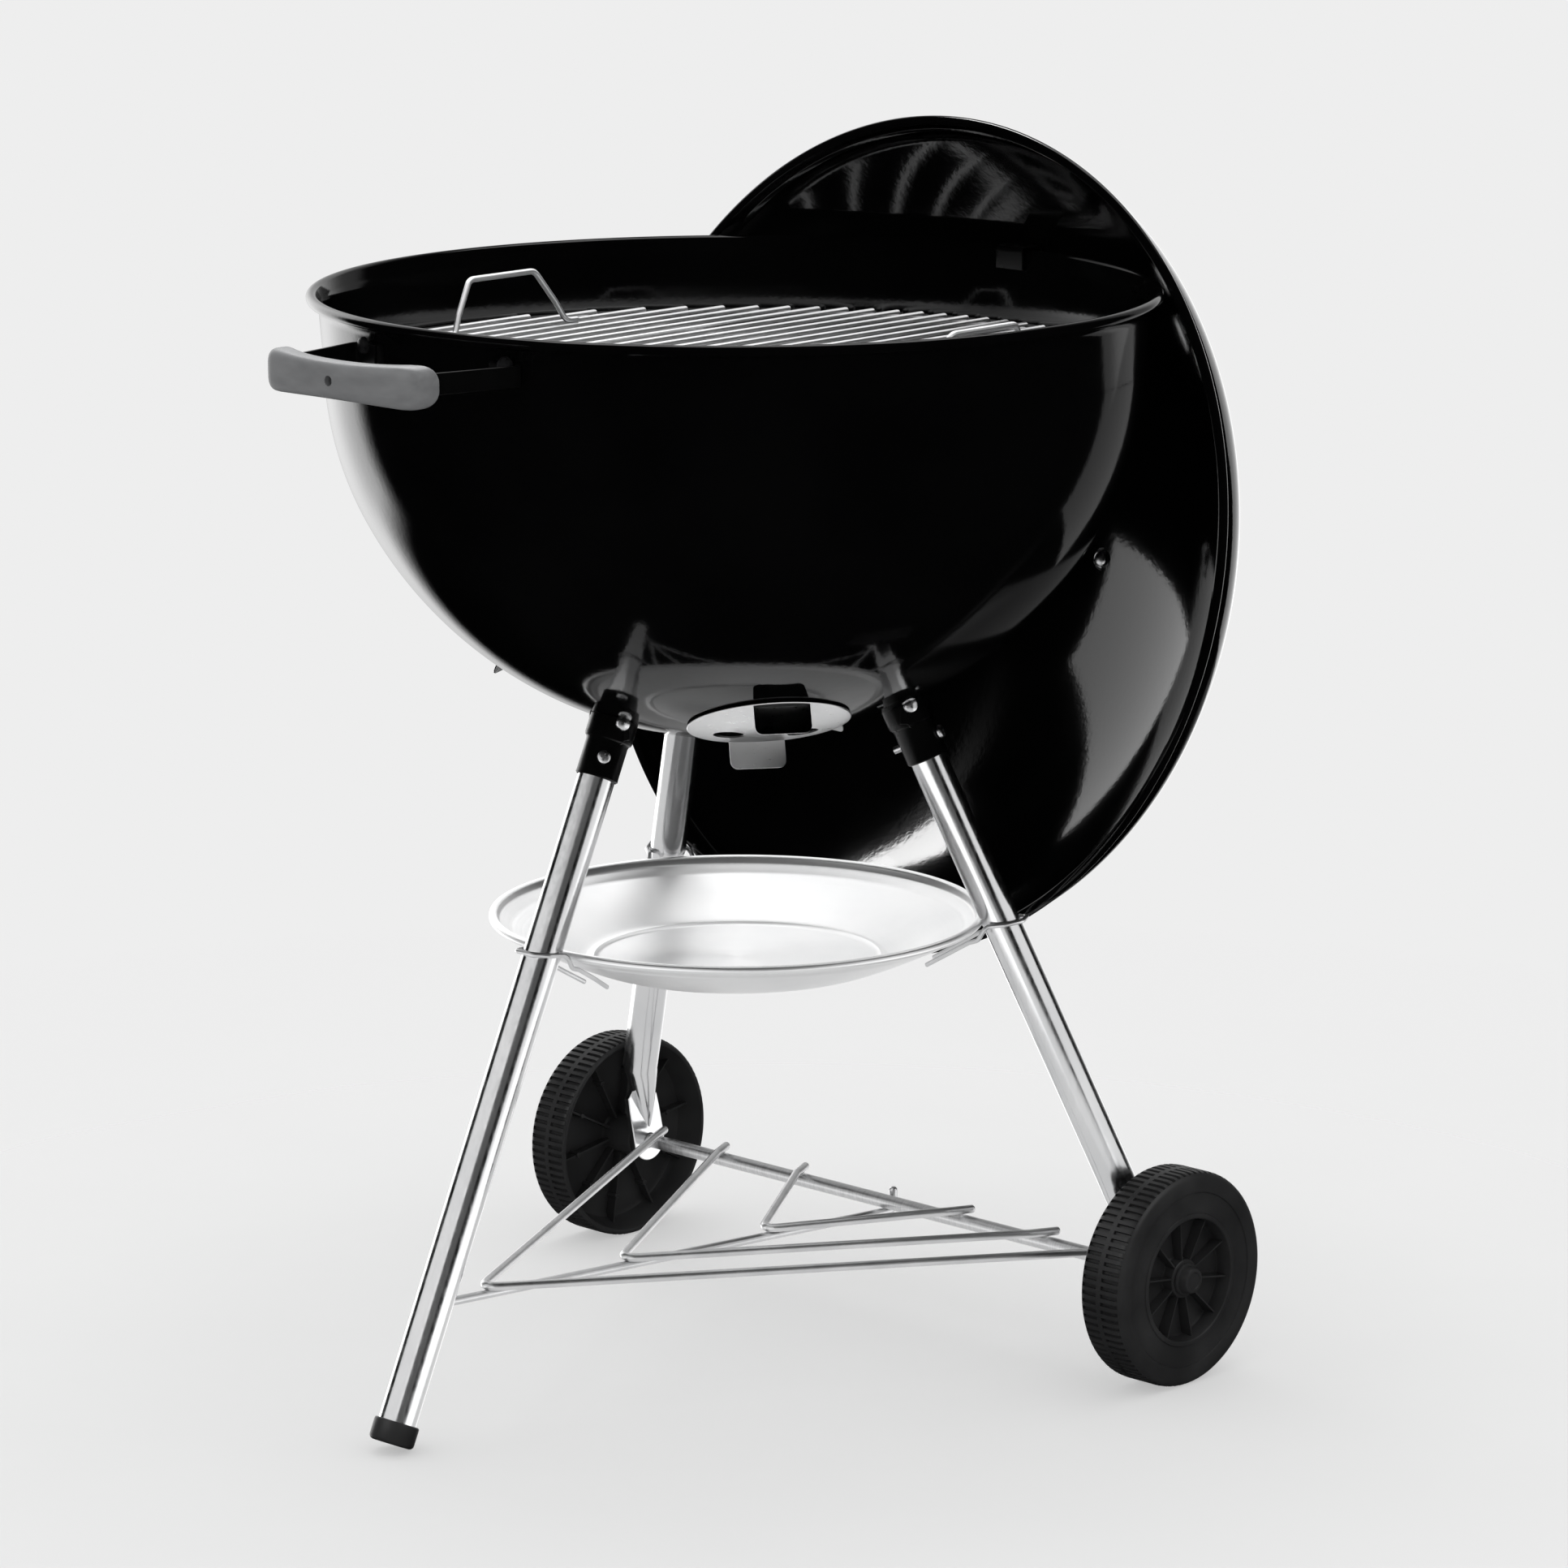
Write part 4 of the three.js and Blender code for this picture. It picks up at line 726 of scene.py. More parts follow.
def rivet_shape(matrix, into, out, radius):
    """A rivet along Z, with a domed head on each side."""
    profile = [(0, into - 2.2), (radius * 0.55, into - 1.95), (radius * 0.9, into - 1.1), (radius, into)]
    profile += [(RIVET_SHANK, into), (RIVET_SHANK, out), (radius, out)]
    profile += [(radius * 0.95, out + 0.9), (radius * 0.65, out + 1.9), (0, out + 2.3)]
    return Shape(matrix).lathe(profile, 40)


def make_damper_rivet(name, matrix, sphere, body, node):
    rivet = rivet_shape(matrix, sphere - SHEET, sphere + DAMPER_GAP + DAMPER_THICKNESS + 0.2, 6.0)
    piece(name, rivet, "fastener", body, [node])


def make_dampers():
    for i, degrees in enumerate(DAMPER_AZIMUTHS, 1):
        matrix = bowl_damper_frame(degrees)
        make_damper(matrix, BOWL_SPHERE, f"vent_disc_{i}", f"bowl_damper_{i}", f"vent_{i}", (1, -1))
        make_damper_rivet(f"vent_rivet_{i}", matrix, BOWL_SPHERE, "stand", f"bowl_damper_rivet_{i}")
    matrix = lid_damper_frame()
    make_damper(matrix, LID_SPHERE, "lid_vent_disc", "lid_damper", "lid_vent", (1,))
    make_damper_rivet("lid_vent_rivet", matrix, LID_SPHERE, "lid_set", "lid_damper_rivet")


# ---- Legs ----


def reach_bowl(point, direction):
    """Slides a point along a direction until it meets the bowl's outer face."""
    centre = Vector((0, 0, BOWL_CENTRE_Z))
    away = point - centre
    half = away.dot(direction)
    root = half**2 - away.length_squared + (BOWL_SPHERE + 0.3) ** 2
    return point + direction * (-half - math.sqrt(max(root, 0.0)))


def make_socket(name, degrees):
    """A pressed sleeve whose flared top is welded to the bowl."""
    down = leg_direction(degrees)
    matrix = frame_at(leg_axis(degrees, SOCKET_LOW_Z), -down, polar(1, degrees))
    inner = LEG_RADIUS + 0.5
    flange = SOCKET_RADIUS + 2.0
    profile = [(inner, 0.0), (SOCKET_RADIUS - 0.6, -0.2), (SOCKET_RADIUS + 0.2, 0.7), (SOCKET_RADIUS, 3.0)]
    profile += [(SOCKET_RADIUS, 24.0), (SOCKET_RADIUS + 0.4, 25.6), (SOCKET_RADIUS + 1.6, 26.6)]
    profile += [(flange, 28.0), (flange, SOCKET_LENGTH)]
    segments = 72

    def ring(radius, z):
        return [matrix @ (polar(radius, 360 * i / segments) + Z_AXIS * z) for i in range(segments)]

    rings = [ring(r, z) for r, z in profile]
    for radius in (flange, inner):
        rings.append([reach_bowl(p, -down) for p in ring(radius, SOCKET_LENGTH)])
    rings.append(ring(inner, 0.0))
    sleeve = Shape().loft(rings, caps=False)
    piece(f"socket_{name}", sleeve, "black_steel", "stand", [f"leg_socket_{name}"])

    # Welded wings at both sides of the collar.
    middle = leg_axis(degrees, SOCKET_WING_Z)
    for label, side in (("a", -1), ("b", 1)):
        aside = polar(1, degrees + 90) * side
        foot = middle + aside * (SOCKET_RADIUS - 3)
        tip = middle + aside * (SOCKET_RADIUS + 2.2)
        rings = []
        for across in (-7.0, 7.0):
            root = foot + polar(across, degrees)
            edge = tip + polar(across, degrees) * 0.4
            low = [root - Z_AXIS * 8, edge - Z_AXIS]
            rings.append(low + [reach_bowl(edge, Z_AXIS), reach_bowl(root, Z_AXIS)])
        wing = Shape().loft(rings)
        piece(f"socket_wing_{name}_{label}", wing, "black_steel", "stand", [], bevel=0.5)


def screw_shape(matrix, head_radius, head_height, depth):
    """A pan-head screw; its head rises along Z from 0."""
    profile = [(0, -depth), (FASTENER_SHANK, -depth), (FASTENER_SHANK, 0), (head_radius, 0)]
    profile += [(head_radius, head_height * 0.35), (head_radius * 0.9, head_height * 0.75)]
    profile += [(head_radius * 0.62, head_height * 0.97), (0, head_height)]
    return Shape(matrix).lathe(profile, 40)


def cross_cutters(matrix, height, reach=2.6, width=0.9):
    """The driver recess of a cross-head screw."""
    tools = []
    for x, y in ((reach, width / 2), (width / 2, reach)):
        outline = ((-x, -y), (x, -y), (x, y), (-x, y))
        tools.append(Shape(matrix).prism(outline, height - RECESS_DEPTH, height + RECESS_DEPTH))
    return tools


def make_leg_bolts():
    for name, degrees in LEG_AZIMUTHS.items():
        down = leg_direction(degrees)
        outward = polar(1, BOLT_AZIMUTHS[name])
        outward = (outward - down * outward.dot(down)).normalized()
        centre = leg_axis(degrees, BOLT_Z)
        matrix = frame_at(centre + outward * (SOCKET_RADIUS + 0.2), outward, down)
        bolt = screw_shape(matrix, 4.7, 3.4, 34.0)
        cutters = cross_cutters(matrix, 3.2, 2.2, 0.8)
        piece(f"socket_screw_{name}", bolt, "fastener", "stand", [f"leg_bolt_{name}"], cutters=cutters)
        # A sprung steel button that locks the leg in its socket.
        sideways = (Quaternion(down, math.radians(BUTTON_TURNS[name])) @ outward).normalized()
        spot = leg_axis(degrees, BUTTON_Z) + sideways * (SOCKET_RADIUS + 1.0)
        button = Shape(frame_at(spot, sideways, down))
        button.lathe([(0, -4), (5.2, -4), (5.2, 1.2), (4.4, 2.6), (2.6, 3.5), (0, 3.8)], 32)
        piece(f"socket_button_{name}", button, "fastener", "stand", [])


def make_foot_leg():
    degrees = LEG_AZIMUTHS["foot"]
    down = leg_direction(degrees)
    matrix = frame_at(leg_axis(degrees, 0), down, Y_AXIS)
    length = (leg_axis(degrees, LEG_TOP_Z) - leg_axis(degrees, 0)).length
    inner = LEG_RADIUS - 1.2
    tube = [(LEG_RADIUS, -length), (LEG_RADIUS, -13.0), (inner, -13.0), (inner, -length)]
    piece("leg_tube_foot", Shape(matrix).lathe(tube, 72), "plated_tube", "stand", ["leg_foot"])

    bore = LEG_RADIUS + 0.2
    cap = [(0, -6.2), (12.4, -6.2), (13.9, -6.7), (14.9, -7.7), (15.3, -8.9), (15.35, -19.8)]
    cap += [(15.1, -20.8), (14.5, -21.3), (bore, -21.4), (bore, -12.6), (0, -12.6)]
    piece("foot_cap_boot", Shape(matrix).lathe(cap, 72), "wheel_plastic", "stand", ["foot_cap"])


def make_wheel_leg(name, degrees):
    """A round tube drawn down to a tongue that ends over the leg's flat plate."""
    side = math.copysign(1, degrees)
    down = leg_direction(degrees)
    top = leg_axis(degrees, LEG_TOP_Z)
    taper_start = leg_axis(degrees, LEG_TAPER_Z)
    axle = Vector((AXLE_X, side * LEG_PLATE_Y, WHEEL_RADIUS))
    inward = Vector((0, -side, 0))
    across = (X_AXIS - down * X_AXIS.dot(down)).normalized()
    face = across.cross(down).normalized()
    if face.dot(inward) < 0:
        face = -face

    def ring(centre, wide, deep):
        return [centre + across * wide * x + face * (deep * y) for x, y in circle(48)]

    rings = [ring(top, LEG_RADIUS, LEG_RADIUS), ring(taper_start, LEG_RADIUS, LEG_RADIUS)]
    tongue = axle + Z_AXIS * 10 - inward * 0.5
    steps = 16
    for i in range(1, steps + 1):
        t = i / steps
        wide = LEG_RADIUS * (1 - t) ** 0.8 + 1.6 * t
        deep = LEG_RADIUS * (1 - t**1.3) + 2.6 * t**1.3
        rings.append(ring(taper_start.lerp(tongue, t), wide, deep))
    piece(f"leg_tube_{name}", Shape().loft(rings), "plated_tube", "stand", [f"leg_{name}"])


def make_leg_plate(name, degrees):
    """The leg's flat end, which the axle passes: round below, with shoulders that close in on the tube."""
    side = math.copysign(1, degrees)
    up_x = leg_axis(degrees, LEG_PLATE_JOIN_Z).x
    half = LEG_PLATE_WIDTH / 2
    rise = LEG_PLATE_JOIN_Z - WHEEL_RADIUS
    lean = math.atan2(AXLE_X - up_x, rise)
    outline = arc(AXLE_X, WHEEL_RADIUS, half, math.pi + lean, 2 * math.pi + lean, 24)
    shoulders = ((half, 100.0), (half - 0.6, 110.0), (5.0, 119.0))
    for shift, z in shoulders + tuple((-shift, z) for shift, z in reversed(shoulders)):
        outline.append((AXLE_X - (AXLE_X - up_x) * (z - WHEEL_RADIUS) / rise + shift, z))
    stand = Matrix(((1, 0, 0, 0), (0, 0, -1, side * LEG_PLATE_Y), (0, 1, 0, 0), (0, 0, 0, 1)))
    plate = Shape(stand).prism(outline, -LEG_PLATE_THICKNESS / 2, LEG_PLATE_THICKNESS / 2)
    bore = hole(stand @ Matrix.Translation((AXLE_X, WHEEL_RADIUS, 0)), -6, 6, AXLE_RADIUS + 0.3)
    piece(f"leg_plate_{name}", plate, "plated_tube", "stand", [], bevel=0.8, cutters=[bore])


# ---- Wheels ----

RIBS = 10
TREADS = 84
TREAD_DEPTH = 1.9
TREAD_FRACTIONS = ((0.0, 0), (0.5, 0), (0.56, 1), (0.94, 1))  # place in a pitch, and whether grooved
TREAD_EDGE_RADIUS = 73.65  # only lines outside this radius are grooved
TREAD_BAND = (14.7, 18.7)  # the plain band between the two rows of grooves

# Radius and distance out from the wheel's inner face.
WHEEL_LINES = (
    (13.0, -8.0), (14.0, -7.0), (14.4, 17.5), (15.5, 19.4), (60.0, 20.6), (64.0, 19.0), (66.5, 15.0),
    (69.6, 1.2), (70.2, 0.3), (71.2, 0.0), (72.6, 0.5), (73.6, 1.6), (73.8, 1.7), (74.5, 3.4),
    (WHEEL_RADIUS, 6.0), (WHEEL_RADIUS, 14.6), (WHEEL_RADIUS, 14.8), (WHEEL_RADIUS, 16.4),
    (WHEEL_RADIUS, 18.6), (WHEEL_RADIUS, 18.8), (WHEEL_RADIUS, 28.6), (74.4, 31.0), (73.7, 32.6),
    (73.5, 32.8), (72.4, 33.9), (70.5, 34.7), (68.0, 35.0), (61.4, 35.0), (60.9, 34.8), (60.5, 34.0),
    (60.0, 33.8), (47.0, 33.8), (46.4, 34.0), (46.0, 34.8), (45.4, 35.0), (43.4, 35.0), (42.8, 34.7),
    (42.4, 34.0), (41.4, 24.0), (40.4, 22.6), (38.8, 22.2), (15.6, 22.2), (14.4, 22.8), (13.9, 24.0),
    (13.4, 29.4), (12.8, 30.0), (11.4, 30.2), (5.4, 30.2), (5.4, -8.0),
)


def make_wheel(name, side):
    origin = Vector((AXLE_X, side * (WHEEL_OUTER_Y - WHEEL_WIDTH), WHEEL_RADIUS))
    matrix = frame_at(origin, Y_AXIS * side, Z_AXIS)
    shape = Shape(matrix)
    rings = []
    for radius, z in WHEEL_LINES:
        grooved = radius > TREAD_EDGE_RADIUS and not TREAD_BAND[0] < z < TREAD_BAND[1]
        ring = []
        for tread in range(TREADS):
            for fraction, groove in TREAD_FRACTIONS:
                size = radius - TREAD_DEPTH if groove and grooved else radius
                ring.append(polar(size, 360 * (tread + fraction) / TREADS, z))
        rings.append(ring)
    shape.loft(rings, wrap=True)
    body = f"{name}_wheel"
    piece(f"wheel_tyre_{name}", shape, "wheel_plastic", body, [f"wheel_{name}"], smooth_degrees=26)

    # Ribs on both faces of the web, with a round stud on each inner one.
    ribs = Shape(matrix)
    for i in range(RIBS):
        angle = 360 / RIBS * i + 9
        along = polar(1, angle)
        thin = polar(0.75, angle + 90)
        for reach, low, near_top, far_top in ((42.2, 21.6, 29.2, 31.4), (69.0, 12.4, 20.8, 20.8)):
            rings = []
            for spot, top in ((along * 12.6, near_top), (along * reach, far_top)):
                section = ((1, low), (0.75, top), (-0.75, top), (-1, low))
                rings.append([spot + thin * side + Z_AXIS * z for side, z in section])
            ribs.loft(rings)
        ribs.matrix = matrix @ Matrix.Translation(along * 47)
        ribs.lathe([(0, 20.6), (2.3, 20.6), (2.0, 11.8), (1.6, 11.4), (0, 11.4)], 16)
        ribs.matrix = matrix
    piece(f"wheel_ribs_{name}", ribs, "wheel_plastic", body, [])

    cap = [(0, 30.4), (11.2, 30.4), (11.4, 31.2), (11.0, 32.0), (9.6, 32.4), (9.3, 33.0), (9.0, 37.0)]
    cap += [(8.4, 38.0), (7.2, 38.5), (6.2, 38.5), (5.7, 37.9), (4.6, 37.7), (0, 38.0)]
    piece(f"hub_cover_{name}", Shape(matrix).lathe(cap, 64), "wheel_plastic", "stand", [f"hub_cap_{name}"])


def make_axle():
    rod = Shape(frame_at(Vector((AXLE_X, 0, WHEEL_RADIUS)), Y_AXIS, Z_AXIS))
    end = AXLE_END_Y
    tip = AXLE_RADIUS - 0.8
    profile = [(0, -end), (tip, -end), (AXLE_RADIUS, 1 - end), (AXLE_RADIUS, end - 1), (tip, end), (0, end)]
    rod.lathe(profile, 48)
    piece("axle_rod", rod, "axle_steel", "stand", ["axle"])


# ---- Lower rack ----

SPINE_LEG_X = -LEG_AXIS_RADIUS - LEG_SPLAY * (LEG_AXIS_Z - SPINE_LEG_Z)
SPINE_AXLE_Z = WHEEL_RADIUS - AXLE_RADIUS - RACK_WIRE - 0.5


def spine_height(x):
    along = (x - SPINE_LEG_X) / (AXLE_X - SPINE_LEG_X)
    return SPINE_LEG_Z + (SPINE_AXLE_Z - SPINE_LEG_Z) * along


def make_rack():
    wrap = AXLE_RADIUS + RACK_WIRE + 0.5
    spine = [(SPINE_LEG_X + 4, 0, SPINE_LEG_Z), (AXLE_X, 0, SPINE_AXLE_Z)]
    spine += [(AXLE_X + wrap + 2, 0, SPINE_AXLE_Z), (AXLE_X + wrap + 2, 0, WHEEL_RADIUS + 6)]
    shape = Shape().sweep(rounded(spine, 10), RACK_WIRE)
    piece("rack_long_wire", shape, "wire", "stand", ["rack_spine"])
    over = WHEEL_RADIUS + wrap
    for name, apex_x, reach in (("outer", -238, 224), ("middle", -107, 160), ("inner", 31, 80)):
        apex_z = spine_height(apex_x) + 2 * RACK_WIRE + 0.3
        arm = [(AXLE_X + 4.5, reach + 1, over + 0.4), (AXLE_X - 14, reach - 8, over + 0.4)]
        corners = arm + [(apex_x - 8, 0, apex_z)] + [(x, -y, z) for x, y, z in reversed(arm)]
        shape = Shape().sweep(rounded(corners, 9), RACK_WIRE)
        piece(f"rack_vee_{name}", shape, "wire", "stand", [f"rack_wire_{name}"])


# ---- Ash dish ----


def make_dish():
    def slope(lift):
        points = []
        for i in range(22):
            t = i / 21
            points.append((104.5 + 52.5 * t, 280.2 + 23.0 * t**1.12 + lift))
        return points

    under = [(0, DISH_FLOOR_Z), (95, DISH_FLOOR_Z), (99, 277.4), (102, 277.9)] + slope(-1.4)
    under += [(160.0, 304.0), (163.2, 305.0), (165.2, 306.2)]
    roll = arc(DISH_RADIUS - 3.0, DISH_TOP_Z - 3.0, 3.0, -math.pi * 0.55, math.pi * 0.88, 16)
    over = [(163.6, 308.6), (162.0, 306.8), (159.0, 305.6)] + slope(0.0)[::-1]
    over += [(102.2, 280.0), (100.6, 280.7), (98.6, 280.7), (96.8, 279.2), (94.5, 278.5), (0, 278.5)]
    shape = Shape().lathe(under + roll + over, 240)
    piece("dish_pan", shape, "dish", "stand", ["ash_dish"])

    side = LEG_RADIUS + CLIP_WIRE + 0.5
    for name, degrees in LEG_AZIMUTHS.items():
        def at(radius, across, z):
            return polar(radius, degrees, z) + polar(across, degrees + 90)

        arm = [at(136, side - 4, 283.5), at(150, side - 1, 292), at(166, side, 301.5)]
        arm += [at(172.5, side + 0.5, 303.5), at(176.5, side + 1.0, 311), at(179.5, side, 313.5)]
        arm += [at(191, side - 1, 315), at(201.8, 7.5, 317)]
        other = [at(p.dot(polar(1, degrees)), -p.dot(polar(1, degrees + 90)), p.z) for p in reversed(arm)]
        shape = Shape().sweep(rounded(arm + other, 5, 4), CLIP_WIRE, 10)
        piece(f"dish_spring_{name}", shape, "wire", "stand", [f"dish_clip_{name}"])


# ---- Grates ----


def make_grate(name, node, body, material, ring_radius, pitch, z, turn):
    matrix = Matrix.Translation((0, 0, z)) @ Matrix.Rotation(turn, 4, "Z")
    ring = Shape(matrix).sweep([polar(ring_radius, 2 * i) for i in range(180)], GRATE_WIRE, 14, closed=True)
    bars = Shape(matrix)
    count = math.floor(ring_radius / pitch - 0.3)
    for i in range(-count, count + 1):
        y = i * pitch
        half = math.sqrt(ring_radius**2 - y * y) + 1.2
        bars.sweep([(x, y, 4.2) for x in (-half, -half / 2, half / 2, half)], BAR_WIRE, 12)
    for x in (-0.42 * ring_radius, 0.42 * ring_radius):
        half = math.sqrt(ring_radius**2 - x * x) - 1.0
        bars.sweep([(x, y, -0.2) for y in (-half, 0, half)], BAR_WIRE, 12)
    piece(f"{name}_ring", ring, material, body, [node])
    piece(f"{name}_bars", bars, material, body, [])


def make_grates():
    layout = (GRATE_RING, GRATE_PITCH, GRATE_Z, GRATE_TURN)
    make_grate("food_grate", "cooking_grate", "cooking_grate_set", "wire", *layout)
    for name, degrees in (("left", 92), ("right", -88)):
        def at(across, out, z):
            return polar(out, degrees, GRATE_Z + z) + polar(across, degrees + 90)

        low = 8.6
        arm = [at(69, 205, low), at(61, 206, low), at(54, 209, 22), at(38, 214, 45)]
        other = [at(-59, 205, low), at(-49, 206, low), at(-42, 209, 22), at(-26, 214, 45)]
        shape = Shape().sweep(rounded(arm + other[::-1], 8), BAIL_WIRE)
        piece(f"grate_bail_{name}", shape, "wire", "cooking_grate_set", [f"grate_handle_{name}"])
    layout = (CHARCOAL_RING, CHARCOAL_PITCH, CHARCOAL_Z, GRATE_TURN + math.pi / 2)
    make_grate("coal_grate", "charcoal_grate", "charcoal_grate_set", "black_steel", *layout)
    make_ledges("cooking", GRATE_RING, GRATE_Z)
    make_ledges("charcoal", CHARCOAL_RING, CHARCOAL_Z)


def make_ledges(label, ring_radius, z):
    """The three bent brackets that a grate rests on."""
    ledge = z - 4.4
    top_r = bowl_inner_radius(ledge) - 3.0
    low_r = bowl_inner_radius(ledge - LEDGE_DROP) - 3.0
    route = bend_flat([(ring_radius - 9, ledge), (top_r, ledge), (low_r, ledge - LEDGE_DROP)], 3.0)
    for i, degrees in enumerate(LEDGE_AZIMUTHS, 1):
        turn = Matrix.Rotation(math.radians(degrees), 4, "Z") @ Matrix.Rotation(math.pi / 2, 4, "X")
        shape = Shape(turn).strap(route, 2.0, -LEDGE_WIDTH / 2, LEDGE_WIDTH / 2)
        node = f"{label}_grate_bracket_{i}"
        piece(f"{label}_ledge_{i}", shape, "black_steel", "stand", [node], bevel=0.5)


# ---- Handles ----


def grip_shape(matrix):
    """A bowed grip, thicker toward its ends. Its bowed face looks toward -X."""
    shape = Shape(matrix)
    rings = []
    half = HANDLE_LENGTH / 2
    stations = 44
    for i in range(stations + 1):
        t = -math.cos(math.pi * i / stations)  # closer together near the ends
        y = t * (half - 0.2)
        outer = BOW_RADIUS - math.sqrt(BOW_RADIUS**2 - y * y)
        flare = max(0.0, (abs(t) - 0.45) / 0.55)
        depth = HANDLE_DEPTH + 0.6 + GRIP_END_DEPTH * flare**1.6
        end = max(0.0, (abs(t) - 0.86) / 0.14)
        shrink = math.sqrt(max(1 - end**2.6, 0.0))
        height = GRIP_HEIGHT + GRIP_END_RISE * min(abs(t) / 0.8, 1.0) ** 2
        height *= 0.42 + 0.58 * shrink
        front = outer + 5.0 * (1 - shrink)
        back = outer + depth - 1.5 * (1 - shrink)
        middle = (front + back) / 2
        hx, hz = max((back - front) / 2, GRIP_CORNER), max(height / 2, GRIP_CORNER)
        ring = []
        for cx, cz in circle(40):
            x = math.copysign(abs(cx) ** GRIP_ROUNDING, cx) * hx
            z = math.copysign(abs(cz) ** GRIP_ROUNDING, cz) * hz
            ring.append((middle + x, y, z))
        rings.append(ring)
    return shape.loft(rings)


def strap_behind_grip():
    route = []
    inner = BOW_RADIUS - STRAP_X
    half = HANDLE_LENGTH / 2 - 8
    for along in (1, 0.8, 0.55, 0.3, 0.12, -0.12, -0.3, -0.55, -0.8, -1):
        y = along * half
        route.append((BOW_RADIUS - math.sqrt(inner * inner - y * y), y))
    return route


def make_grip(name, matrix, body, grip_node, screw_node):
    cutter = hole(matrix @ Matrix.Rotation(math.pi / 2, 4, "Y"), -20, 9, 3.4)
    shape = grip_shape(matrix)
    piece(f"{name}_grip", shape, "grip_plastic", body, [grip_node], cutters=[cutter], smooth_degrees=50)
    head = matrix @ frame_at(Vector((STRAP_X + STRAP / 2 + 0.1, 0, 0)), X_AXIS, Z_AXIS)
    screw = screw_shape(head, 5.4, 3.2, 14.0)
    piece(f"{name}_grip_screw", screw, "fastener", body, [screw_node], cutters=cross_cutters(head, 3.0))


def hex_nut(matrix, low, high, across):
    outline = [tuple(polar(across / math.sqrt(3), 60 * i).xy) for i in range(6)]
    return Shape(matrix).prism(outline, low, high)


def make_bowl_handle():
    matrix = Matrix.Translation((HANDLE_OUTER_X, 0, HANDLE_Z))
    make_grip("bowl", matrix, "stand", "bowl_handle", "bowl_handle_screw")
    foot_angle = math.degrees(math.asin(HANDLE_FOOT_Y / NECK_RADIUS))

    def foot(side, shift):
        spot = polar(NECK_RADIUS + 0.9, 180 - side * foot_angle) + polar(shift, 90 - side * foot_angle)
        return (spot.x - HANDLE_OUTER_X, spot.y)

    route = [foot(1, -13), foot(1, 13)] + strap_behind_grip() + [foot(-1, -13), foot(-1, 13)]
    shape = Shape(matrix).strap(bend_flat(route, 5.0), STRAP, 3 - STRAP_WIDTH / 2, 8.0)
    piece("bowl_handle_strap", shape, "black_steel", "stand", ["bowl_handle_bracket"], bevel=0.5)
    for name, side in (("left", 1), ("right", -1)):
        azimuth = 180 - side * foot_angle
        out = frame_at(Vector((0, 0, HANDLE_SCREW_Z)), polar(1, azimuth), Z_AXIS)
        start = NECK_RADIUS + 0.9 + STRAP / 2
        screw = screw_shape(out @ Matrix.Translation((0, 0, start)), 5.6, 3.8, 12.0)
        piece(f"strap_screw_{name}", screw, "dark_fastener", "stand", [f"bracket_screw_{name}"])
        nut_face = bowl_inner_radius(HANDLE_SCREW_Z)
        nut = hex_nut(out, nut_face - 3.4, nut_face - 0.2, 8.0)
        piece(f"strap_nut_{name}", nut, "dark_fastener", "stand", [], bevel=0.4)


# ---- Lid ----


def make_lid():
    flange = LID_RADIUS - 2.6
    step = [(LID_WALL_RADIUS - r, z) for r, z in ((0, 5.0), (0.2, 8.4), (1.2, 10.2), (2.6, 11.6))]
    skip = 4  # the first points of the wall lie within the step
    outer = lid_wall(0, 20, 64)[skip:]
    inner = lid_wall(SHEET, 20, 64)[skip:][::-1]
    profile = [(LID_WALL_RADIUS + r, z) for r, z in ((-SHEET, 2.0), (-SHEET * 0.6, 0.4), (0.4, 0.0))]
    profile += arc(flange, 2.2, 2.2, -math.pi / 2, math.pi / 2, 12)
    profile += [(LID_WALL_RADIUS + 1.2, 4.4)] + step + outer + inner
    profile += [(r - SHEET, z) for r, z in reversed(step[1:])]
    shape = Shape(LID_FRAME).lathe(profile, 264)
    cutters = vent_holes(lid_damper_frame(), LID_SPHERE)
    piece("lid_shell", shape, "enamel", "lid_set", ["lid"], cutters=cutters)


def make_lid_hook():
    over = RIM_HEIGHT + 1.2
    low_x = lid_inner_x(HOOK_LOW_Z) - HOOK_GAP
    high_x = lid_inner_x(HOOK_HIGH_Z) - HOOK_GAP
    front = NECK_RADIUS - 5.2
    route = [(low_x, HOOK_LOW_Z), (high_x, HOOK_HIGH_Z), (high_x - 3.5, over)]
    route += [(front, over), (front, over - 15)]
    stand = Matrix.Rotation(math.pi / 2, 4, "X")
    shape = Shape(stand).strap(bend_flat(route, 2.6), 2.0, -HOOK_WIDTH / 2, HOOK_WIDTH / 2)
    piece("rim_hook", shape, "black_steel", "lid_set", ["lid_hook"], bevel=0.5)
    for i, z in enumerate(HOOK_RIVETS_Z, 1):
        rivet = rivet_shape(hook_rivet_frame(z), -HOOK_GAP - 1.4, SHEET + 0.2, 5.2)
        piece(f"rim_hook_rivet_{i}", rivet, "fastener", "lid_set", [f"hook_rivet_{i}"])


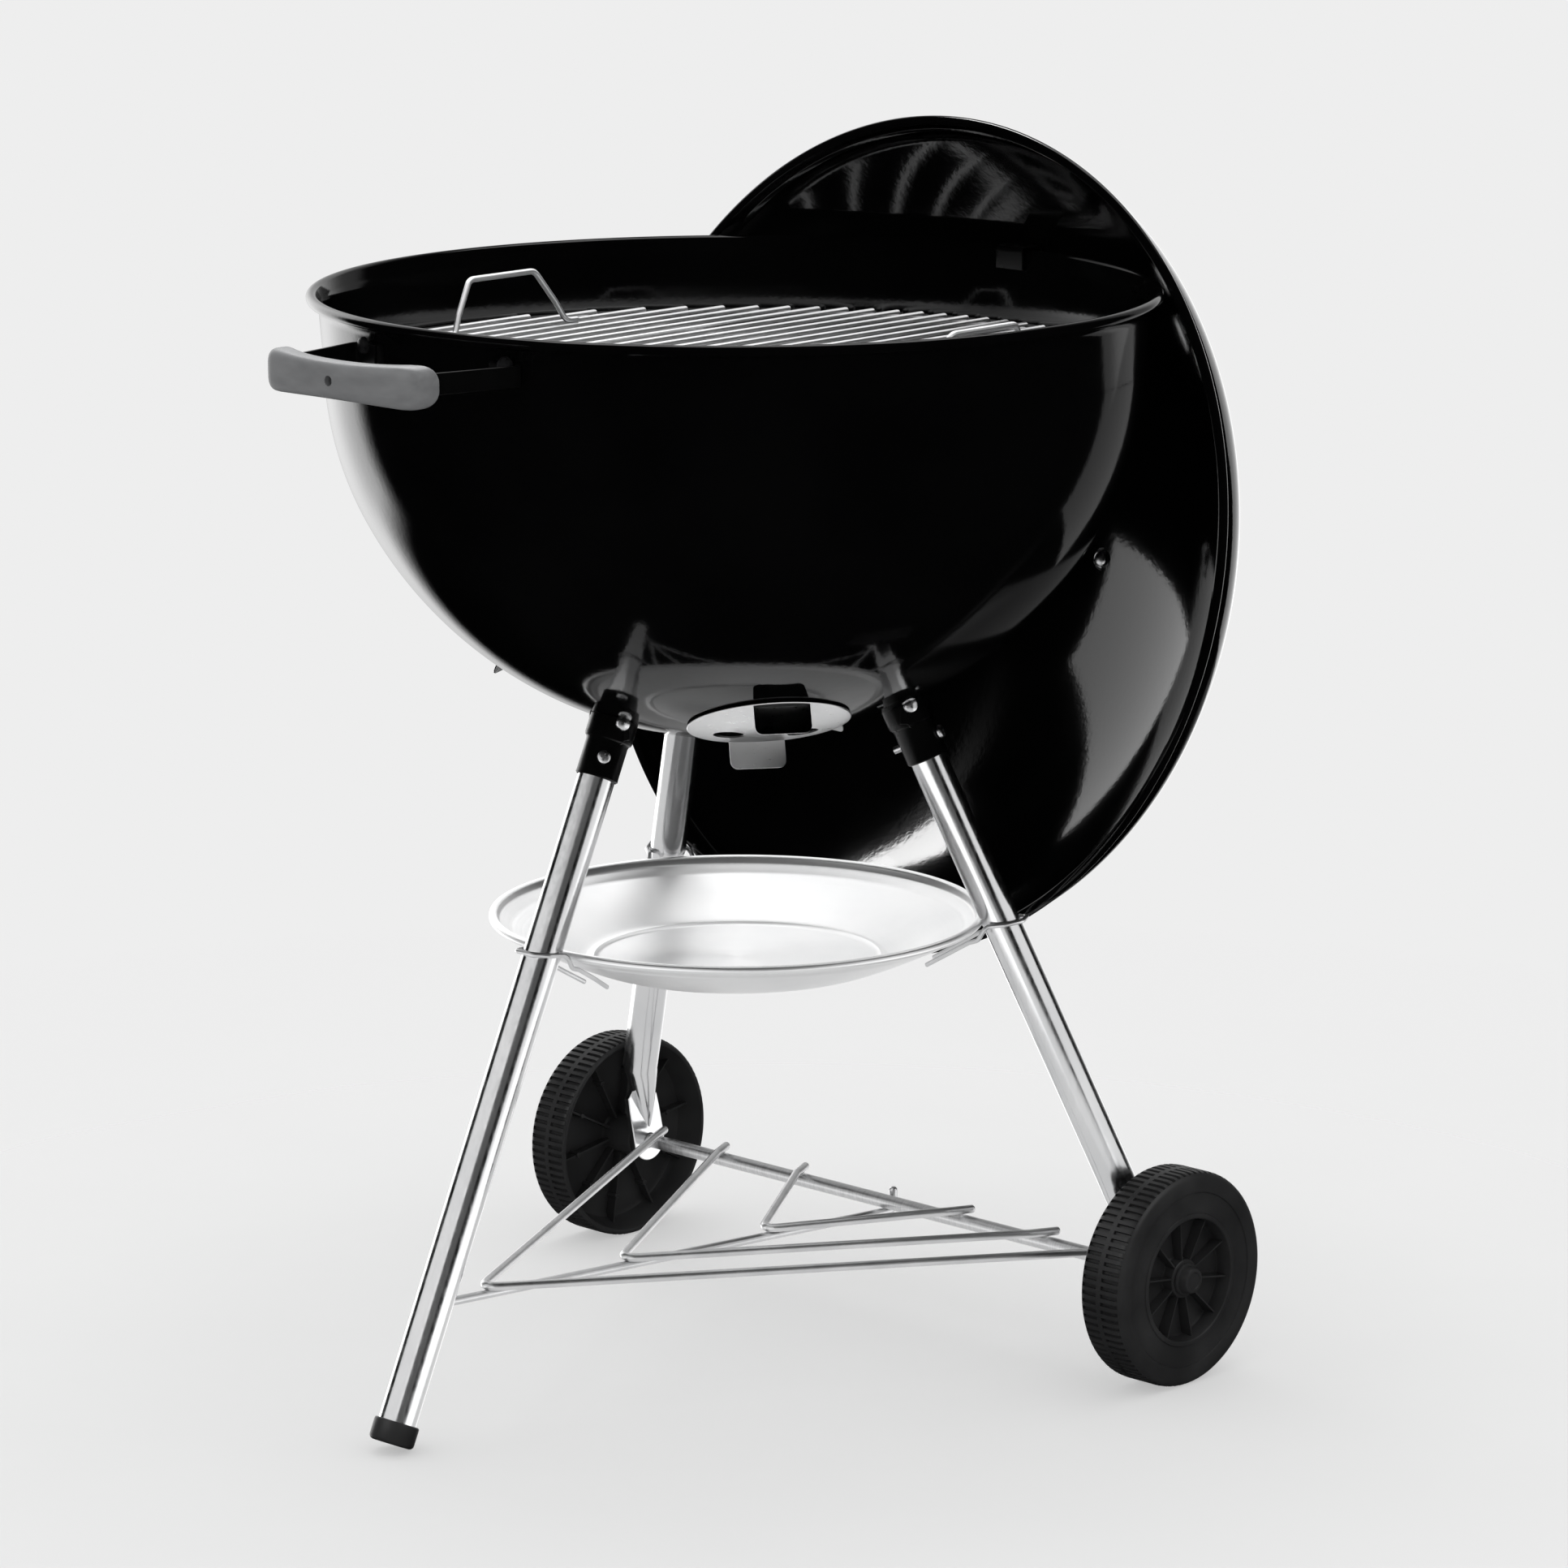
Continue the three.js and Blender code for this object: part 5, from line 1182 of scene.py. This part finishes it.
def make_lid_handle():
    raised = LID_FRAME @ Matrix.Translation((0, 0, LID_DEPTH + LID_HANDLE_HEIGHT))
    matrix = raised @ Matrix.Rotation(math.pi / 2, 4, "Y")
    make_grip("lid", matrix, "lid_set", "lid_handle", "lid_handle_screw")
    dip = LID_SPHERE - math.sqrt(LID_SPHERE**2 - LID_BOLT_Y**2)
    foot_x = LID_HANDLE_HEIGHT + dip - 3.4
    lean = LID_BOLT_Y / LID_SPHERE

    def foot(side, along):
        return (foot_x + along * lean, side * (LID_BOLT_Y + along))

    route = [foot(1, -14), foot(1, 13)] + strap_behind_grip() + [foot(-1, 13), foot(-1, -14)]
    shape = Shape(matrix).strap(bend_flat(route, 5.0), STRAP, -STRAP_WIDTH / 2, STRAP_WIDTH / 2)
    piece("lid_handle_strap", shape, "black_steel", "lid_set", ["lid_handle_bracket"], bevel=0.5)

    low, thick = LID_SPHERE + 0.5, 1.2
    sweep = math.asin(SHIELD_LENGTH / 2 / LID_SPHERE)
    start, end = math.pi / 2 - sweep, math.pi / 2 + sweep
    under, over = (arc(0, LID_SPHERE_Z, radius, start, end, 24) for radius in (low, low + thick))
    half = SHIELD_WIDTH / 2
    rings = [[(-half, *a), (-half, *b), (half, *b), (half, *a)] for a, b in zip(under, over)]
    shape = Shape(LID_FRAME).loft(rings)
    piece("lid_shield", shape, "plated_tube", "lid_set", ["lid_heat_shield"], bevel=0.4)

    skin = LID_SPHERE_Z + math.sqrt(LID_SPHERE**2 - LID_BOLT_Y**2)
    for name, side in (("left", 1), ("right", -1)):
        spot = LID_FRAME @ Matrix.Translation((0, side * LID_BOLT_Y, skin))
        profile = [(0, -6.2), (3.2, -6.0), (5.4, -4.6), (6.3, -2.6), (6.5, -1.7), (8.2, -1.7), (8.2, -1.1)]
        profile += [(FASTENER_SHANK, -1.1), (FASTENER_SHANK, 8.6), (0, 8.6)]
        bolt = Shape(spot).lathe(profile, 40)
        piece(f"lid_bolt_{name}", bolt, "fastener", "lid_set", [f"lid_handle_bolt_{name}"])
        nut = hex_nut(spot, 5.0, 8.4, 10.0)
        piece(f"lid_nut_{name}", nut, "fastener", "lid_set", [], bevel=0.4)


# ---- Floor, light and camera ----

BACK_AZIMUTH = 44.07  # degrees; the camera looks this way
CAMERA_PLACE = Vector((-2.9778, -2.9153, 1.2855))
CAMERA_DROP = math.radians(12.02)
CAMERA_ROLL = -0.0018
LENS = 142.8
FLOOR_REACH = 6.0
FLOOR_FADE = (0.4, 1.3)  # metres from the middle: half clear up to the first, all clear past the second


def make_floor():
    """A pale floor that melts into the backdrop away from the grill."""
    data = bpy.data.meshes.new("floor")
    work = bmesh.new()
    bmesh.ops.create_grid(work, x_segments=24, y_segments=24, size=FLOOR_REACH)
    work.to_mesh(data)
    work.free()
    floor = bpy.data.objects.new("floor", data)
    bpy.context.scene.collection.objects.link(floor)
    floor.visible_glossy = False
    n = Nodes("floor_pale")
    away = n.node("ShaderNodeVectorMath", {0: n.place}, operation="LENGTH").outputs["Value"]
    fade = n.between(away, 0.5, 1.0, *FLOOR_FADE)
    grain = n.noise(5.0, 3.0)
    n.set(Base_Color=n.colours(grain, grey(0.79), grey(0.81)), Roughness=0.9, Specular_IOR_Level=0.1)
    clear = n.node("ShaderNodeBsdfTransparent").outputs["BSDF"]
    mix = n.node("ShaderNodeMixShader", {0: fade, 1: n.shader.outputs["BSDF"], 2: clear})
    output = n.tree.nodes["Material Output"]
    n.tree.links.new(mix.outputs["Shader"], output.inputs["Surface"])
    data.materials.append(n.material)


FILL_LIGHT = 0.95  # what matt surfaces receive from all round
BACKDROP_SEEN = 0.855
SWEEP_LEFT, SWEEP_MIDDLE, SWEEP_RIGHT = 2.1, 0.6, 0.2  # what glossy surfaces see behind the grill
PANEL_AIM_Z = 0.4  # metres; every panel faces this height on the bowl's axis


def make_world():
    """A pale studio sweep: glossy surfaces see it behind the grill only, brighter on the left."""
    world = bpy.data.worlds.new("studio")
    bpy.context.scene.world = world
    world.use_nodes = True
    tree = world.node_tree
    tree.nodes.clear()
    node = partial(add_node, tree)

    def smooth(value, start, end, low, high):
        inputs = {"Value": value, "From Min": start, "From Max": end, "To Min": low, "To Max": high}
        return node("ShaderNodeMapRange", inputs, interpolation_type="SMOOTHSTEP").outputs["Result"]

    def product(*factors):
        result = factors[0]
        for factor in factors[1:]:
            result = node("ShaderNodeMath", {0: result, 1: factor}, operation="MULTIPLY").outputs[0]
        return result

    direction = node("ShaderNodeTexCoord").outputs["Generated"]
    split = node("ShaderNodeSeparateXYZ", {"Vector": direction})
    inputs = {"X": split.outputs["X"], "Y": split.outputs["Y"]}
    flat = node("ShaderNodeCombineXYZ", inputs).outputs["Vector"]
    flat = node("ShaderNodeVectorMath", {0: flat}, operation="NORMALIZE").outputs["Vector"]

    def along(azimuth):
        inputs = {0: flat, 1: polar(1, azimuth)}
        return node("ShaderNodeVectorMath", inputs, operation="DOT_PRODUCT").outputs["Value"]

    leftward = along(BACK_AZIMUTH + 90)
    behind = smooth(along(BACK_AZIMUTH), 0.0, 0.1, 0.0, 1.0)
    right = smooth(leftward, -0.62, -0.35, SWEEP_RIGHT, SWEEP_MIDDLE)
    left = smooth(leftward, 0.0, 0.55, 0.0, SWEEP_LEFT - SWEEP_MIDDLE)
    level = node("ShaderNodeMath", {0: left, 1: right}, operation="ADD").outputs[0]
    window = product(smooth(leftward, 0.7, 0.83, 1.0, 0.0), smooth(leftward, -0.78, -0.7, 0.0, 1.0))
    upward = split.outputs["Z"]
    height = product(smooth(upward, -0.5, -0.36, 0.0, 1.0), smooth(upward, 0.35, 0.7, 1.0, 0.15))
    glossy = product(level, window, behind, height)
    rays = node("ShaderNodeLightPath")
    inputs = {"Factor": rays.outputs["Is Diffuse Ray"], "A": glossy, "B": FILL_LIGHT}
    bounced = node("ShaderNodeMix", inputs).outputs["Result"]
    inputs = {"Factor": rays.outputs["Is Camera Ray"], "A": bounced, "B": BACKDROP_SEEN}
    seen = node("ShaderNodeMix", inputs).outputs["Result"]
    background = node("ShaderNodeBackground", {"Strength": seen, "Color": (1, 1, 1, 1)})
    output = node("ShaderNodeOutputWorld")
    tree.links.new(background.outputs["Background"], output.inputs["Surface"])


def light_group(name, finishes=(), names=(), without=()):
    """Pieces with given finishes or starts of names, for lights that reach only those."""
    group = bpy.data.collections.new(name)
    materials = {MATERIALS[key].name for key in finishes}
    for obj in bpy.context.scene.objects:
        if obj.type != "MESH" or not obj.data.materials or obj.name.startswith(tuple(without)):
            continue
        if obj.data.materials[0].name in materials or obj.name.startswith(tuple(names)):
            group.objects.link(obj)
    return group


def panel(name, azimuth, elevation, distance, size, radiance, reach=None, blockers=None):
    """A soft rectangular light facing the grill; azimuths count from straight behind it, left is +."""
    data = bpy.data.lights.new(name, "AREA")
    data.shape = "RECTANGLE"
    data.size, data.size_y = size
    data.energy = radiance * math.pi * size[0] * size[1]
    light = bpy.data.objects.new(name, data)
    lift = math.radians(elevation)
    away = polar(math.cos(lift), BACK_AZIMUTH + azimuth, math.sin(lift))
    light.location = Vector((0, 0, PANEL_AIM_Z)) + away * distance
    light.rotation_euler = (-away).to_track_quat("-Z", "Y").to_euler()
    light.visible_camera = False
    bpy.context.scene.collection.objects.link(light)
    if reach:
        light.light_linking.receiver_collection = reach
    if blockers:
        light.light_linking.blocker_collection = blockers
    return light


def make_lights():
    bright = ("plated_tube", "aluminium", "dish", "wire", "fastener", "axle_steel")
    metal = light_group("bright_work", bright, without=("vent_disc",))
    tabs = ("vent_disc_1_tab", "vent_disc_2_tab", "vent_disc_3_tab")
    underneath = light_group("lit_from_below", bright, without=tabs)
    plastic = light_group("plastic_work", ("wheel_plastic", "grip_plastic"))
    dish = light_group("dish_only", ("dish",))
    grate = light_group("grate_only", names=("food_grate", "grate_bail"))
    lid = light_group("lid_only", names=("lid_shell",))
    bowl = light_group("bowl_only", names=("bowl_shell",))
    grip = light_group("grip_only", ("grip_plastic",))
    panel("overhead", 0.0, 76.0, 2.2, (2.0, 1.4), 1.6)
    panel("metal_left", 128.0, 0.0, 2.4, (4.2, 2.8), 0.85, metal)
    panel("metal_right", -108.0, 0.0, 2.4, (2.6, 2.8), 0.85, metal)
    panel("plastic_left", 130.0, 30.0, 2.4, (1.5, 1.5), 1.4, plastic)
    panel("plastic_right", -120.0, 30.0, 2.4, (1.5, 1.5), 1.4, plastic)
    panel("grip_top", 20.0, 66.0, 1.6, (1.3, 1.3), 5.0, grip)
    panel("dish_back", 0.0, 26.0, 2.2, (3.4, 2.6), 1.1, dish, dish)
    panel("dish_top", 0.0, 80.0, 1.8, (3.0, 2.2), 0.9, dish, dish)
    panel("grate_top", 0.0, 70.0, 1.8, (3.6, 3.6), 1.2, grate, grate)
    panel("metal_front", 180.0, 0.0, 2.4, (2.0, 2.8), 0.1, metal)
    panel("bowl_right", -45.0, -17.0, 8.0, (3.2, 2.9), 0.24, bowl, bowl)
    panel("lid_edge", -35.0, 5.0, 8.0, (8.0, 7.0), 1.2, lid, lid)
    panel("grate_front", 180.0, 25.0, 1.8, (3.6, 2.6), 0.8, grate, grate)
    panel("lid_band", 55.0, 12.5, 8.0, (6.1, 3.0), 1.5, lid, grip)
    panel("lid_streak", 61.5, 56.5, 8.0, (2.1, 2.4), 16.0, lid)
    under = panel("under_metal", 0.0, -89.0, 0.398, (4.0, 4.0), 0.7, underneath)
    under.rotation_euler = (math.pi, 0.0, 0.0)  # flat on the floor, facing straight up


def make_camera():
    data = bpy.data.cameras.new("camera")
    data.lens = LENS
    data.sensor_width = 36.0
    data.clip_end = 50.0
    camera = bpy.data.objects.new("camera", data)
    camera.location = CAMERA_PLACE
    ahead = polar(math.cos(CAMERA_DROP), BACK_AZIMUTH, -math.sin(CAMERA_DROP))
    turn = ahead.to_track_quat("-Z", "Y") @ Quaternion(Z_AXIS, CAMERA_ROLL)
    camera.rotation_euler = turn.to_euler()
    bpy.context.scene.collection.objects.link(camera)
    bpy.context.scene.camera = camera


make_bowl()
make_dampers()
for leg_name, leg_degrees in LEG_AZIMUTHS.items():
    make_socket(leg_name, leg_degrees)
make_leg_bolts()
make_foot_leg()
for leg_name in ("wheel_left", "wheel_right"):
    make_wheel_leg(leg_name, LEG_AZIMUTHS[leg_name])
    make_leg_plate(leg_name, LEG_AZIMUTHS[leg_name])
make_wheel("left", 1)
make_wheel("right", -1)
make_axle()
make_rack()
make_dish()
make_grates()
make_bowl_handle()
make_lid()
make_lid_hook()
make_lid_handle()
make_floor()
make_world()
make_lights()
make_camera()
bpy.context.scene.view_settings.view_transform = "Standard"
